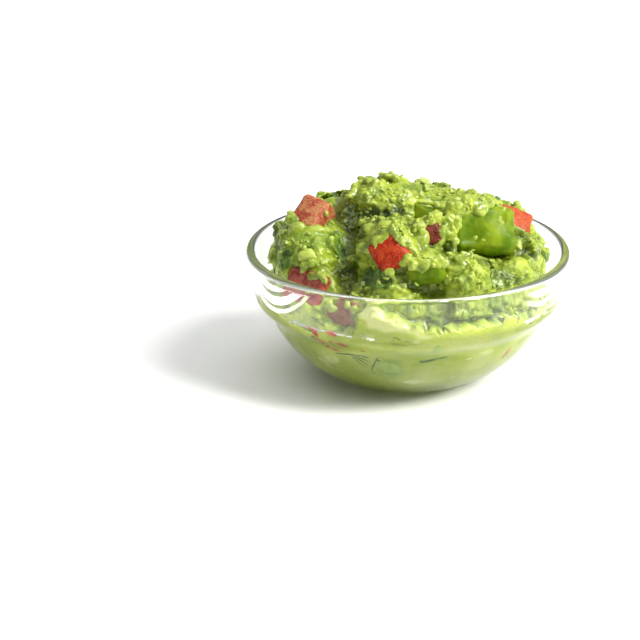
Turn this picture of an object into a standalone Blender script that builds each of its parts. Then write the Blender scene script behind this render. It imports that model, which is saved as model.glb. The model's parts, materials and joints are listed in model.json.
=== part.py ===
"""Guacamole heaped in a small stacking glass bowl.

The bowl is one turned piece of pressed glass: a flat foot with a shallow punt, a round wall, a ledge on
which the next bowl would stand, a wider band above it and a rounded lip.  The mash fills the bowl and
stands above it as a heap of spoonfuls.  Diced tomato and avocado are sunk into the heap, each a piece of
its own in a pocket of the mash.

Metres, +Z up.  The origin is the middle of the foot, on the table, and -Y is the front.
"""

import math
import random

import bmesh
import bpy
from mathutils import Euler, Matrix, Quaternion, Vector

MM = 0.001

# ---- Driving dimensions -------------------------------------------------------------------------
RIM_RADIUS = 60 * MM
BOWL_HEIGHT = 49 * MM
LIP_RADIUS = 1.8 * MM  # half the thickness of the glass at the rounded lip
FOOT_RADIUS = 24 * MM
PUNT_RADIUS = 16 * MM
PUNT_DEPTH = 0.7 * MM
LEDGE_HEIGHT = 23.5 * MM  # where the wall starts to step out to the band
BAND_HEIGHT = 32.4 * MM  # where the band starts
FLOOR_THICKNESS = 4.4 * MM
FLOOR_RADIUS = 17 * MM

DOME_RADIUS = 46 * MM  # the low dome of mash under the spoonfuls
DOME_FOOT = 31 * MM  # how high the mash is packed against the glass
DOME_HEIGHT = 29 * MM
DOME_FULLNESS = 2.6  # 2 is round, more is squarer
HEADROOM = 95 * MM  # higher than the heap's summit
GAP = 0.35 * MM  # left between pieces that touch

AROUND = 48  # steps round the bowl
WALL_STEPS = 7
LEDGE_STEPS = 4
LIP_STEPS = 6
DOME_STEPS = 10
MASH_VOXEL = 4.4 * MM  # grain of the mash's surface

# Places on the bowl's two walls, as (radius, height).
OUTER_LEDGE_FOOT = (50.6 * MM, LEDGE_HEIGHT)
OUTER_BAND_FOOT = (57.2 * MM, BAND_HEIGHT)
LIP_CENTRE = (RIM_RADIUS - LIP_RADIUS, BOWL_HEIGHT - LIP_RADIUS)
INNER_BAND_FOOT = (54.7 * MM, 34.5 * MM)
INNER_LEDGE_FOOT = (47.6 * MM, 24.6 * MM)

GLASS = (0.86, 0.90, 0.87)
MASH_GREEN = (0.42, 0.48, 0.10)
TOMATO_RED = (0.55, 0.06, 0.02)
AVOCADO_GREEN = (0.25, 0.40, 0.04)

# The spoonfuls of the heap: centre and half axes in millimetres, then the turn about Z in degrees.
SPOONFULS = (
    ((-7, -3, 61), (17, 15, 14.5), 10),  # the summit
    ((-3, -25, 53), (16, 17, 15.5), 0),  # the front, below the summit
    ((20, 0, 56), (21, 15, 13), -8),
    ((26, -13, 54), (16, 14, 13), 10),
    ((-31, 2, 49.5), (15, 14, 14), 0),
    ((-36, -16, 47), (13, 19, 14.5), 12),
    ((-29, -32, 39), (12, 10, 10), 40),
    ((-3, -41, 42), (14, 9, 9), 0),
    ((21, -35, 47), (11.5, 11.5, 12.5), 15),
    ((35, -23, 44), (13, 13, 11.5), 40),
    ((38.8, -8, 48), (11, 14, 13), 0),
    ((-25, 23, 50), (18, 15, 13), 20),
    ((6, 26, 52), (18, 15, 13), -15),
    ((31, 19, 48), (15, 15, 13), 35),
    ((-39, 8, 46), (12, 14, 12), 15),
    ((0, 10, 59), (17, 14, 10), 0),
    ((-12, 38, 43), (13, 11, 10), 10),
    ((19, 38, 42), (13, 11, 10), -25),
    ((40, 10.5, 45), (10.5, 12, 11), 0),
    ((-33, 30, 41), (12, 11, 10), 45),
)
RIM_LUMPS = 15  # smaller lumps where the mash leans on the glass
RIM_LUMP_RADIUS = 7 * MM
RIM_LUMP_ORBIT = 48.5 * MM
RIM_LUMP_HEIGHT = 28 * MM

# Diced pieces: the middle of the face that shows, in millimetres; the way that face looks, as an angle
# round Z from +X and an angle up, in degrees; its roll; its width, height and depth in millimetres.
TOMATO_DICE = (
    ((-36, -9.5, 65), (-112, 42), -14, (12, 12, 12)),
    ((-6.5, -42.5, 61), (-102, 18), 40, (11.5, 11.5, 11)),
    ((-37, -36, 45.5), (-130, 20), -4, (17, 10, 11)),
    ((39, -8.5, 62), (-62, 40), -32, (13, 11, 10)),
    ((7.5, -33, 64.5), (-88, 20), 20, (9, 8, 8)),
    ((-22.5, -45, 38), (-116, -8), 12, (11, 8, 7.5)),
    ((-27.5, -40.2, 27), (-124, -38), -30, (12, 5.5, 4.5)),
    ((-19, 42, 50), (115, 28), 20, (13, 11, 11)),
    ((24, 40, 48), (60, 30), 40, (12, 11, 11)),
    ((-45.5, 17, 48), (158, 25), 15, (12, 11, 10)),
    ((39.5, 28.5, 48), (36, 25), 45, (11, 12, 11)),
)
AVOCADO_CHUNKS = (
    ((27.5, -27.5, 65.5), (-76, 26), -6, (25, 17, 14)),
    ((7.5, -46.5, 54.5), (-84, 12), 5, (11, 8, 8)),
    ((5, -21.5, 69), (-80, 40), -15, (11, 9, 8)),
    ((-37.5, -31, 55), (-132, 26), 20, (8, 6.5, 6)),
    ((0, 36, 58), (90, 32), 8, (20, 14, 12)),
    ((-31, 26.5, 60), (137, 42), 50, (13, 11, 9)),
)
PRESSED = ("tomato_7",)  # pieces squeezed flat against the glass
# How far a piece's sides stray from their size, and the softness of its edges.
TOMATO_UNEVEN, TOMATO_EDGE = 0.14, 1.1 * MM
AVOCADO_UNEVEN, AVOCADO_EDGE = 0.18, 2.2 * MM


# ---- Helpers ------------------------------------------------------------------------------------
def curve_between(start, start_handle, end_handle, end, steps):
    """Points on a cubic curve, without its first point."""
    points = []
    for i in range(1, steps + 1):
        t = i / steps
        weights = ((1 - t) ** 3, 3 * t * (1 - t) ** 2, 3 * t * t * (1 - t), t**3)
        corners = (start, start_handle, end_handle, end)
        points.append(tuple(sum(w * c[k] for w, c in zip(weights, corners)) for k in (0, 1)))
    return points


def arc(centre, radius, first_degrees, last_degrees, steps):
    """Points on an arc, with both its ends."""
    turns = [first_degrees + (last_degrees - first_degrees) * i / steps for i in range(steps + 1)]
    return [
        (centre[0] + radius * math.cos(math.radians(a)), centre[1] + radius * math.sin(math.radians(a)))
        for a in turns
    ]


def material(name, colour, roughness, transmission=0.0, alpha=1.0):
    made = bpy.data.materials.new(name)
    made.use_nodes = True
    shader = made.node_tree.nodes["Principled BSDF"]
    shader.inputs["Base Color"].default_value = (*colour, 1)
    shader.inputs["Roughness"].default_value = roughness
    shader.inputs["Metallic"].default_value = 0
    shader.inputs["Transmission Weight"].default_value = transmission
    shader.inputs["Alpha"].default_value = alpha
    made.diffuse_color = (*colour, alpha)
    return made


def new_object(name, mesh, finish=None):
    made = bpy.data.objects.new(name, mesh)
    bpy.context.scene.collection.objects.link(made)
    if finish:
        mesh.materials.append(finish)
    return made


def make_helper(made):
    """A cutter or a mould: it shapes other pieces and isn't one itself."""
    made.hide_render = True
    made.display_type = "WIRE"
    return made


def turned_object(name, profile, finish=None):
    """A closed solid turned about Z from a profile of (radius, height) that starts and ends on the axis."""
    mesh = bpy.data.meshes.new(name)
    mesh.from_pydata([(r, 0, z) for r, z in profile], [(i, i + 1) for i in range(len(profile) - 1)], [])
    made = new_object(name, mesh, finish)
    screw = made.modifiers.new("Turn", "SCREW")
    screw.steps = screw.render_steps = AROUND
    screw.use_merge_vertices = True
    screw.merge_threshold = 0.00005
    screw.use_smooth_shade = True
    return made


# ---- The bowl -----------------------------------------------------------------------------------
def inner_wall(inset=0.0):
    """The bowl's inside, from the middle of its floor up to the lip, moved inwards by inset."""
    floor = [(0, FLOOR_THICKNESS), (FLOOR_RADIUS, FLOOR_THICKNESS)]
    wall = curve_between(
        floor[1], (33.0 * MM, 5.6 * MM), (43.9 * MM, 14.5 * MM), INNER_LEDGE_FOOT, WALL_STEPS
    )
    ledge = curve_between(
        INNER_LEDGE_FOOT, (49.2 * MM, 29.0 * MM), (54.1 * MM, 30.8 * MM), INNER_BAND_FOOT, LEDGE_STEPS
    )
    points = floor + wall + ledge + [(LIP_CENTRE[0] - LIP_RADIUS, LIP_CENTRE[1])]
    if not inset:
        return points
    moved = [(0, FLOOR_THICKNESS + inset)]
    for before, here, after in zip(points, points[1:], points[2:] + [points[-1]]):
        along = Vector(after) - Vector(before)
        inwards = Vector((-along.y, along.x)).normalized()
        moved.append(tuple(Vector(here) + inwards * inset))
    return moved


def outer_wall():
    """The bowl's outside, from the band's top down to the middle of the foot."""
    ledge = curve_between(
        OUTER_BAND_FOOT, (56.6 * MM, 28.2 * MM), (51.9 * MM, 27.4 * MM), OUTER_LEDGE_FOOT, LEDGE_STEPS
    )
    wall = curve_between(
        OUTER_LEDGE_FOOT, (46.6 * MM, 12.5 * MM), (34.0 * MM, 2.6 * MM), (FOOT_RADIUS + 0.3 * MM, 0.4 * MM),
        WALL_STEPS,
    )
    punt_edge = PUNT_RADIUS + PUNT_DEPTH
    foot = [(FOOT_RADIUS, 0), (punt_edge, 0), (PUNT_RADIUS, PUNT_DEPTH), (0, PUNT_DEPTH)]
    return [OUTER_BAND_FOOT] + ledge + wall + foot


def make_bowl():
    """The glass in one turn: up the inside, over the lip, down the outside and across the foot."""
    lip = arc(LIP_CENTRE, LIP_RADIUS, 180, 0, LIP_STEPS)
    profile = inner_wall()[:-1] + lip + outer_wall()
    return turned_object("glass_bowl", profile, material("clear glass", GLASS, 0.02, 1.0, 0.35))


# ---- The heap -----------------------------------------------------------------------------------
def heap_core():
    """The mash below the spoonfuls: it more than fills the bowl, and a low dome stands above it."""
    profile = [(0, 0), (RIM_RADIUS, 0), (RIM_RADIUS, DOME_FOOT)]
    for i in range(DOME_STEPS):
        turn = math.pi / 2 * i / DOME_STEPS
        radius = DOME_RADIUS * math.cos(turn) ** (2 / DOME_FULLNESS)
        height = DOME_FOOT + DOME_HEIGHT * math.sin(turn) ** (2 / DOME_FULLNESS)
        profile.append((radius, height))
    return profile + [(0, DOME_FOOT + DOME_HEIGHT)]


def add_ball(shape, centre, half_axes, turn_degrees=0.0):
    place = (
        Matrix.Translation(Vector(centre))
        @ Matrix.Rotation(math.radians(turn_degrees), 4, "Z")
        @ Matrix.Diagonal((*half_axes, 1))
    )
    bmesh.ops.create_icosphere(shape, subdivisions=3, radius=1, matrix=place)


def add_turned_core(shape, profile):
    """The core's profile turned into the same mesh as the spoonfuls."""
    corners = [shape.verts.new((r, 0, z)) for r, z in profile]
    edges = [shape.edges.new(pair) for pair in zip(corners, corners[1:])]
    bmesh.ops.spin(
        shape, geom=corners + edges, cent=(0, 0, 0), axis=(0, 0, 1), angle=math.tau, steps=AROUND,
        use_merge=True,
    )
    bmesh.ops.remove_doubles(shape, verts=shape.verts, dist=0.05 * MM)
    bmesh.ops.recalc_face_normals(shape, faces=shape.faces)


def make_mould():
    """The room that the mash may take: the bowl's inside with a small gap, and all the space above it."""
    walls = inner_wall(GAP)
    mouth = walls[-1][0]
    profile = [(0, HEADROOM), (mouth, HEADROOM)] + walls[::-1]
    return make_helper(turned_object("mould", profile))


def keep_inside(made, mould):
    """Trim a piece by the mould, so that it lies flat along the glass."""
    trim = made.modifiers.new("Fill the bowl", "BOOLEAN")
    trim.operation = "INTERSECT"
    trim.object = mould


def make_mash(mould, pockets):
    """The spoonfuls blended into one solid, trimmed by the mould, with a pocket for each diced piece."""
    chance = random.Random(7)
    shape = bmesh.new()
    add_turned_core(shape, heap_core())
    for centre, half_axes, turn in SPOONFULS:
        add_ball(shape, [c * MM for c in centre], [a * MM for a in half_axes], turn)
    for i in range(RIM_LUMPS):
        angle = math.tau * (i + chance.uniform(-0.3, 0.3)) / RIM_LUMPS
        radius = RIM_LUMP_RADIUS * chance.uniform(0.85, 1.15)
        height = RIM_LUMP_HEIGHT + chance.uniform(-2.5, 2.5) * MM
        centre = (RIM_LUMP_ORBIT * math.cos(angle), RIM_LUMP_ORBIT * math.sin(angle), height)
        add_ball(shape, centre, (radius, radius, radius))
    mesh = bpy.data.meshes.new("guacamole")
    shape.to_mesh(mesh)
    shape.free()
    mash = new_object("guacamole", mesh, material("mashed avocado", MASH_GREEN, 0.35))
    blend = mash.modifiers.new("Blend the spoonfuls", "REMESH")
    blend.mode = "VOXEL"
    blend.voxel_size = MASH_VOXEL
    soften = mash.modifiers.new("Soften", "SMOOTH")
    soften.iterations = 2
    keep_inside(mash, mould)
    cut = mash.modifiers.new("Pockets", "BOOLEAN")
    cut.operation = "DIFFERENCE"
    cut.operand_type = "COLLECTION"
    cut.collection = pockets


# ---- The diced pieces ---------------------------------------------------------------------------
def diced_mesh(name, size, seed, uneven, round_edge, grow=0.0):
    """A knife-cut block with uneven corners and soft edges, made bigger all over by grow."""
    chance = random.Random(seed)
    shape = bmesh.new()
    bmesh.ops.create_cube(shape, size=1)
    for corner in shape.verts:
        for k in (0, 1, 2):
            side = size[k] * (1 + chance.uniform(-uneven, uneven)) / 2 + grow
            corner.co[k] = math.copysign(side, corner.co[k])
    bmesh.ops.bevel(
        shape, geom=shape.edges, offset=round_edge + grow, segments=1, affect="EDGES"
    )
    bmesh.ops.triangulate(shape, faces=shape.faces)
    bmesh.ops.recalc_face_normals(shape, faces=shape.faces)
    mesh = bpy.data.meshes.new(name)
    shape.to_mesh(mesh)
    shape.free()
    return mesh


def make_dice(kind, rows, finish, uneven, round_edge, mould, pockets):
    """One node for each diced piece, and a slightly bigger pocket for it in the mash."""
    for number, (shown, (azimuth, elevation), roll, size) in enumerate(rows, 1):
        name = f"{kind}_{number}"
        size = [s * MM for s in size]
        looks = Vector((1, 0, 0))
        looks.rotate(Euler((0, math.radians(-elevation), math.radians(azimuth))))
        turn = looks.to_track_quat("Z", "Y") @ Quaternion((0, 0, 1), math.radians(roll))
        centre = Vector(shown) * MM - looks * size[2] / 2
        seed = number * 31 + len(kind)
        piece = new_object(name, diced_mesh(name, size, seed, uneven, round_edge), finish)
        pocket = bpy.data.objects.new(
            name + "_pocket", diced_mesh(name + "_pocket", size, seed, uneven, round_edge, GAP)
        )
        pockets.objects.link(make_helper(pocket))
        for made in (piece, pocket):
            made.location = centre
            made.rotation_euler = turn.to_euler()
        if name in PRESSED:
            keep_inside(piece, mould)


def main():
    for old in list(bpy.data.objects):
        bpy.data.objects.remove(old)
    pockets = bpy.data.collections.new("pockets")
    bpy.context.scene.collection.children.link(pockets)
    make_bowl()
    tomato = material("tomato flesh", TOMATO_RED, 0.3)
    avocado = material("avocado flesh", AVOCADO_GREEN, 0.35)
    mould = make_mould()
    make_dice("tomato", TOMATO_DICE, tomato, TOMATO_UNEVEN, TOMATO_EDGE, mould, pockets)
    make_dice("avocado", AVOCADO_CHUNKS, avocado, AVOCADO_UNEVEN, AVOCADO_EDGE, mould, pockets)
    make_mash(mould, pockets)


main()
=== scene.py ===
# %% [markdown]
# # Guacamole in a small glass bowl
# A heap of coarsely mashed avocado stands over the rim of a clear glass bowl. Diced tomato, whole
# chunks of avocado, chopped herb leaves and bits of onion sit in it. Every piece here is placed by the
# model of record, which is loaded first and never changed: it holds the bowl's profile, the rough
# heap and the dice. This lesson gives each of them its real surface.

# %% Load the frame
import json
import math
import random

import bmesh
import bpy
import numpy as np
from mathutils import Euler, Matrix, Quaternion, Vector, noise
from mathutils.bvhtree import BVHTree

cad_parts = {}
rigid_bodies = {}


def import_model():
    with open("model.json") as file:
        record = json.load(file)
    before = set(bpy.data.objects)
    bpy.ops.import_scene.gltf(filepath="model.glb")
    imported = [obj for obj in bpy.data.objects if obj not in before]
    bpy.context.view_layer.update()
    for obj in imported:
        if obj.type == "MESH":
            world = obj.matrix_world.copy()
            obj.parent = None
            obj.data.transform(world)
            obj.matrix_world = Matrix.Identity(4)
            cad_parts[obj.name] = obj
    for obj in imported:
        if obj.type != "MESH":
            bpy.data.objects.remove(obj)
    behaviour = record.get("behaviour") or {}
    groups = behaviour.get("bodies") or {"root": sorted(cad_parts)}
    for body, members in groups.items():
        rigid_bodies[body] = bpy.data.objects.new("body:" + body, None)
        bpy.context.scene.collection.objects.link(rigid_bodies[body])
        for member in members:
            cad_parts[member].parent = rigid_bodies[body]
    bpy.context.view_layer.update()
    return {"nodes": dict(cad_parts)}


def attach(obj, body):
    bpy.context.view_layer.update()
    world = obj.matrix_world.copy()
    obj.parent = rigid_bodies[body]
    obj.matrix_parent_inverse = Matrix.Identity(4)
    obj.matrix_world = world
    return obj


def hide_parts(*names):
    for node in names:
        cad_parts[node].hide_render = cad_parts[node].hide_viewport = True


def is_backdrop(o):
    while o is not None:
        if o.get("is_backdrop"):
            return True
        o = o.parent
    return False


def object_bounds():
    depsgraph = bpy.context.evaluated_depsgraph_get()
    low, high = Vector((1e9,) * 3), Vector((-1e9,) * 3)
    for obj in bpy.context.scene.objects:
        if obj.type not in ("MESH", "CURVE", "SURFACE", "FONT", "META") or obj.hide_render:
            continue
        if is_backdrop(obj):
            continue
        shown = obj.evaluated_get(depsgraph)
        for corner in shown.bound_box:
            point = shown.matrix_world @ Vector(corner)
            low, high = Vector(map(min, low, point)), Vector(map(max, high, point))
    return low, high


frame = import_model()
NODES = frame["nodes"]
MM = 0.001

# %% [markdown]
# ## Small helpers
# A node tree is easier to read when each node is one call: its kind, what feeds its sockets, and its
# settings. The same helper serves shader trees and geometry trees.


# %% One call for each node
def put(tree, kind, inputs=None, **settings):
    """Adds a node. inputs maps a socket's name or number to a value or to another node's output."""
    node = tree.nodes.new(kind)
    for key, value in settings.items():
        setattr(node, key, value)
    for key, value in (inputs or {}).items():
        if isinstance(value, bpy.types.NodeSocket):
            tree.links.new(value, node.inputs[key])
        else:
            node.inputs[key].default_value = value
    return node


def maths(tree, operation, *values, clamp=False):
    return put(tree, "ShaderNodeMath", dict(enumerate(values)), operation=operation, use_clamp=clamp).outputs[0]


def vector_maths(tree, operation, *values):
    node = put(tree, "ShaderNodeVectorMath", dict(enumerate(values)), operation=operation)
    return node.outputs["Value"] if operation in ("LENGTH", "DISTANCE", "DOT_PRODUCT") else node.outputs[0]


def scaled(tree, vector, factor):
    return put(tree, "ShaderNodeVectorMath", {0: vector, "Scale": factor}, operation="SCALE").outputs[0]


def remap(tree, value, low, high, to_low=0.0, to_high=1.0):
    """A smooth step from to_low to to_high while value goes from low to high."""
    return put(tree, "ShaderNodeMapRange", {0: value, 1: low, 2: high, 3: to_low, 4: to_high},
               interpolation_type="SMOOTHSTEP").outputs[0]


def mix_colour(tree, factor, one, two, blend="MIX"):
    node = put(tree, "ShaderNodeMix", data_type="RGBA", blend_type=blend)
    for key, value in (("Factor_Float", factor), ("A_Color", one), ("B_Color", two)):
        socket = next(s for s in node.inputs if s.identifier == key)
        if isinstance(value, bpy.types.NodeSocket):
            tree.links.new(value, socket)
        else:
            socket.default_value = value if key == "Factor_Float" else (*value, 1.0)
    return next(s for s in node.outputs if s.identifier == "Result_Color")


# %% Objects from meshes, and meshes from modifiers
def new_object(name, mesh, material=None):
    thing = bpy.data.objects.new(name, mesh)
    bpy.context.scene.collection.objects.link(thing)
    if material is not None:
        mesh.materials.append(material)
    return thing


def mesh_from(name, points, faces):
    mesh = bpy.data.meshes.new(name)
    mesh.from_pydata([tuple(p) for p in points], [], [tuple(f) for f in faces])
    mesh.validate()
    mesh.update()
    return mesh


def set_modifier(thing, tree, values):
    """Hangs a geometry tree on an object. Inputs are set by the socket's identifier."""
    modifier = thing.modifiers.new(tree.name, "NODES")
    modifier.node_group = tree
    for item in tree.interface.items_tree:
        if item.item_type == "SOCKET" and item.in_out == "INPUT" and item.name in values:
            modifier[item.identifier] = values[item.name]
    return modifier


def baked(thing):
    """The object's mesh with its modifiers applied. The modifiers are then removed."""
    graph = bpy.context.evaluated_depsgraph_get()
    mesh = bpy.data.meshes.new_from_object(thing.evaluated_get(graph), depsgraph=graph)
    thing.modifiers.clear()
    thing.data = mesh
    return mesh


def merged_copy(*names):
    """One bmesh of these nodes, with the doubled corners of their loose triangles merged."""
    bm = bmesh.new()
    for name in names:
        bm.from_mesh(NODES[name].data)
    bmesh.ops.remove_doubles(bm, verts=bm.verts, dist=1e-6)
    return bm


def points_of(mesh):
    flat = np.empty(3 * len(mesh.vertices))
    mesh.vertices.foreach_get("co", flat)
    return flat.reshape(-1, 3)


def normals_of(mesh):
    flat = np.empty(3 * len(mesh.vertices))
    mesh.vertices.foreach_get("normal", flat)
    return flat.reshape(-1, 3)


def move_points(mesh, points):
    mesh.vertices.foreach_set("co", np.ascontiguousarray(points, dtype=np.float32).ravel())
    mesh.update()


def shade_smooth(mesh):
    mesh.polygons.foreach_set("use_smooth", [True] * len(mesh.polygons))
    mesh.update()


def triangles(mesh):
    return sum(len(p.vertices) - 2 for p in mesh.polygons)


# %% [markdown]
# ## The camera
# A long lens looks down at about twenty degrees from the front, where the tomato shows best. The bowl
# stands a little to the right of the picture's middle, so the camera is turned slightly, not shifted:
# a turned camera can be moved round the object later without sliding its picture.

# %% Camera
CAMERA_ELEVATION = math.radians(20.2)
CAMERA_DISTANCE = 0.960
LOOK_AT = Vector((0, 0, 0.0245))
TURN_LEFT, TURN_DOWN = math.radians(1.938), math.radians(0.295)

forward = Vector((0, math.cos(CAMERA_ELEVATION), -math.sin(CAMERA_ELEVATION)))
side = Vector((1, 0, 0))
aim = (forward - side * math.tan(TURN_LEFT) - side.cross(forward) * math.tan(TURN_DOWN)).normalized()
across = aim.cross(Vector((0, 0, 1))).normalized()
camera_data = bpy.data.cameras.new("camera")
camera_data.lens, camera_data.sensor_width = 144.27, 36.0
camera_data.clip_start, camera_data.clip_end = 0.05, 20.0
camera = bpy.data.objects.new("camera", camera_data)
camera.matrix_world = Matrix.Translation(LOOK_AT - forward * CAMERA_DISTANCE) @ Matrix(
    (across, across.cross(aim), -aim)).transposed().to_4x4()
bpy.context.scene.collection.objects.link(camera)
bpy.context.scene.camera = camera
print("camera", [round(v, 3) for v in camera.location])

# %% [markdown]
# ## The studio
# A white sweep, a large soft light high on the right and white surroundings. Clear glass shows only
# what it bends and reflects, so the surroundings are not even: they are darker low down in front,
# and that draws the grey edges of the bowl.

# %% Floor, light and surroundings
bpy.context.scene.view_settings.view_transform = "Standard"

FLOOR_HALF = 3.0
floor = new_object("floor", mesh_from("floor", [(-FLOOR_HALF, -FLOOR_HALF, 0), (FLOOR_HALF, -FLOOR_HALF, 0),
                                                (FLOOR_HALF, FLOOR_HALF, 0), (-FLOOR_HALF, FLOOR_HALF, 0)],
                                      [(0, 1, 2, 3)]))
floor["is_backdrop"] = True
paper = bpy.data.materials.new("white_sweep")
paper.use_nodes = True
floor.data.materials.append(paper)
shader = paper.node_tree.nodes["Principled BSDF"]
shader.inputs["Base Color"].default_value = (0.86, 0.86, 0.85, 1)
shader.inputs["Roughness"].default_value = 0.9
shader.inputs["Specular IOR Level"].default_value = 0.1
# The floor glows, which is painted light: no glow right under the bowl, a faint glow close by that lightens the bowl's
# cast shadow, and more glow further out that keeps the far floor evenly white and bright in the glass's reflections.
reach = vector_maths(paper.node_tree, "LENGTH", put(paper.node_tree, "ShaderNodeTexCoord").outputs["Object"])
shader.inputs["Emission Color"].default_value = (1, 1, 1, 1)
paper.node_tree.links.new(maths(paper.node_tree, "ADD", remap(paper.node_tree, reach, 0.03, 0.06, 0.0, 0.19),
                                                      remap(paper.node_tree, reach, 0.13, 0.45, 0.0, 0.44)), shader.inputs["Emission Strength"])


def softbox(name, azimuth, elevation, distance, size, power, colour=(1, 1, 1)):
    """A square light that looks at the bowl. Azimuth 0 is in front and 90 is on the right."""
    data = bpy.data.lights.new(name, "AREA")
    data.size, data.energy, data.color = size, power, colour
    light = bpy.data.objects.new(name, data)
    a, e = math.radians(azimuth), math.radians(elevation)
    back = Vector((math.sin(a) * math.cos(e), -math.cos(a) * math.cos(e), math.sin(e)))
    light.location = Vector((0, 0, 0.04)) + back * distance
    light.rotation_mode = "QUATERNION"
    light.rotation_quaternion = back.to_track_quat("Z", "Y")
    bpy.context.scene.collection.objects.link(light)
    return light


softbox("key", 66, 46, 1.1, 0.36, 17.0, (1.0, 0.985, 0.96))
softbox("top", 150, 70, 1.2, 0.7, 2.0)
softbox("fill", 75, 18, 0.8, 0.5, 1.2)
# Two small lamps that only glint: they draw the sparks on the wet crumbs and light nothing.
for name, azimuth, elevation, power in (("glint_right", 35, 58, 1.6), ("glint_left", -40, 62, 0.7)):
    lamp = softbox(name, azimuth, elevation, 0.8, 0.05, power)
    lamp.visible_diffuse = lamp.visible_transmission = lamp.visible_camera = False



def card(name, x, y, width, depth, glow):
    """A bright sheet lying beside the bowl that only shows in reflections: it draws the band's white."""
    data = bpy.data.lights.new(name, "AREA")
    data.shape, data.size, data.size_y = "RECTANGLE", width, depth
    data.energy = glow * math.pi * width * depth
    light = bpy.data.objects.new(name, data)
    light.location = (x, y, 0.001)
    light.rotation_euler = (math.pi, 0, 0)
    light.visible_camera = light.visible_diffuse = light.visible_transmission = False
    light.visible_volume_scatter = False
    bpy.context.scene.collection.objects.link(light)


card("card_left_low", -0.097, 0.004, 0.003, 0.130, 9.0)
card("card_left", -0.104, 0.004, 0.006, 0.136, 12.0)
card("card_left_high", -0.113, 0.006, 0.005, 0.136, 8.0)
card("card_right", 0.104, 0.030, 0.004, 0.110, 5.0)
card("card_right_high", 0.112, 0.030, 0.006, 0.110, 6.0)

world = bpy.data.worlds.new("surroundings")
bpy.context.scene.world = world
world.use_nodes = True
sky = world.node_tree
sky.nodes.clear()
sky_way = put(sky, "ShaderNodeSeparateXYZ", {0: put(sky, "ShaderNodeTexCoord").outputs["Generated"]})
high = remap(sky, sky_way.outputs["Z"], -0.1, 0.75, 0.20, 0.62)
behind = remap(sky, sky_way.outputs["Y"], -0.6, 0.7, 0.55, 1.0)
seen = put(sky, "ShaderNodeBackground", {"Color": (1, 1, 1, 1), "Strength": 1.1})
felt = put(sky, "ShaderNodeBackground", {"Color": (0.97, 0.98, 1, 1), "Strength": maths(sky, "MULTIPLY", high, behind)})
ray = put(sky, "ShaderNodeLightPath").outputs
through = put(sky, "ShaderNodeBackground", {"Color": (1, 1, 1, 1), "Strength": 0.85})
plain = put(sky, "ShaderNodeMixShader", {0: ray["Is Transmission Ray"], 1: felt.outputs[0], 2: through.outputs[0]})
which = put(sky, "ShaderNodeMixShader", {0: ray["Is Camera Ray"], 1: plain.outputs[0], 2: seen.outputs[0]})
put(sky, "ShaderNodeOutputWorld", {"Surface": which.outputs[0]})
print("studio ready")

# %% [markdown]
# ## The glass bowl
# Such a bowl is pressed in a turned mould, so it is one profile spun about its axis: a thick floor, a
# round side, a ledge where the next bowl of a stack would rest, a short straight band and a rounded
# lip. Straight lines and Bezier curves give the profile. Spinning it in small steps keeps the
# highlights clean, and a lathe needs no subdivision afterwards.


# %% The profile, in millimetres from the axis and above the table
def bend(start, handle_1, handle_2, end, steps):
    t = np.linspace(0, 1, steps + 1)[1:, None]
    p0, p1, p2, p3 = (np.array(p, float) for p in (start, handle_1, handle_2, end))
    return (1 - t) ** 3 * p0 + 3 * (1 - t) ** 2 * t * p1 + 3 * (1 - t) * t ** 2 * p2 + t ** 3 * p3


LIP_MIDDLE, LIP_RADIUS = np.array((58.2, 47.2)), 1.8
lip_turn = np.radians(np.linspace(180, 0, 21))[1:]
INNER = np.vstack([
    np.linspace((0, 4.4), (17, 4.4), 6),
    bend((17, 4.4), (33, 5.6), (43.9, 14.5), (47.6, 24.6), 30),
    bend((47.6, 24.6), (49.2, 29.0), (54.1, 30.8), (54.7, 34.5), 18),
    np.linspace((54.7, 34.5), (56.4, 47.2), 10)[1:],
])
OUTER = np.vstack([
    LIP_MIDDLE + LIP_RADIUS * np.column_stack([np.cos(lip_turn), np.sin(lip_turn)]),
    np.linspace((60.0, 47.2), (57.2, 32.4), 10)[1:],
    bend((57.2, 32.4), (56.6, 28.2), (51.9, 27.4), (50.6, 23.5), 18),
    bend((50.6, 23.5), (46.6, 12.5), (34.0, 2.6), (24.3, 0.4), 30),
    [(24.15, 0.12), (23.8, 0.0), (20.0, 0.0), (17.0, 0.0), (16.6, 0.1), (16.2, 0.55), (15.8, 0.7), (8.0, 0.7), (0.0, 0.7)],
])
PROFILE = np.vstack([INNER, OUTER])
print("profile points", len(PROFILE))


# %% Spin it
def lathe(name, profile, around=288):
    """A closed solid of revolution. The profile starts and ends on the axis."""
    ring = np.linspace(0, 2 * math.pi, around, endpoint=False)
    body = profile[1:-1]
    points = [(0, 0, profile[0][1] * MM), (0, 0, profile[-1][1] * MM)]
    for r, z in body:
        points += [(r * math.cos(a) * MM, r * math.sin(a) * MM, z * MM) for a in ring]
    row = lambda i, j: 2 + i * around + j % around
    faces = []
    for j in range(around):
        faces.append((0, row(0, j), row(0, j + 1)))
        faces += [(row(i, j), row(i + 1, j), row(i + 1, j + 1), row(i, j + 1)) for i in range(len(body) - 1)]
        faces.append((row(len(body) - 1, j), 1, row(len(body) - 1, j + 1)))
    return mesh_from(name, points, faces)


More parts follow.
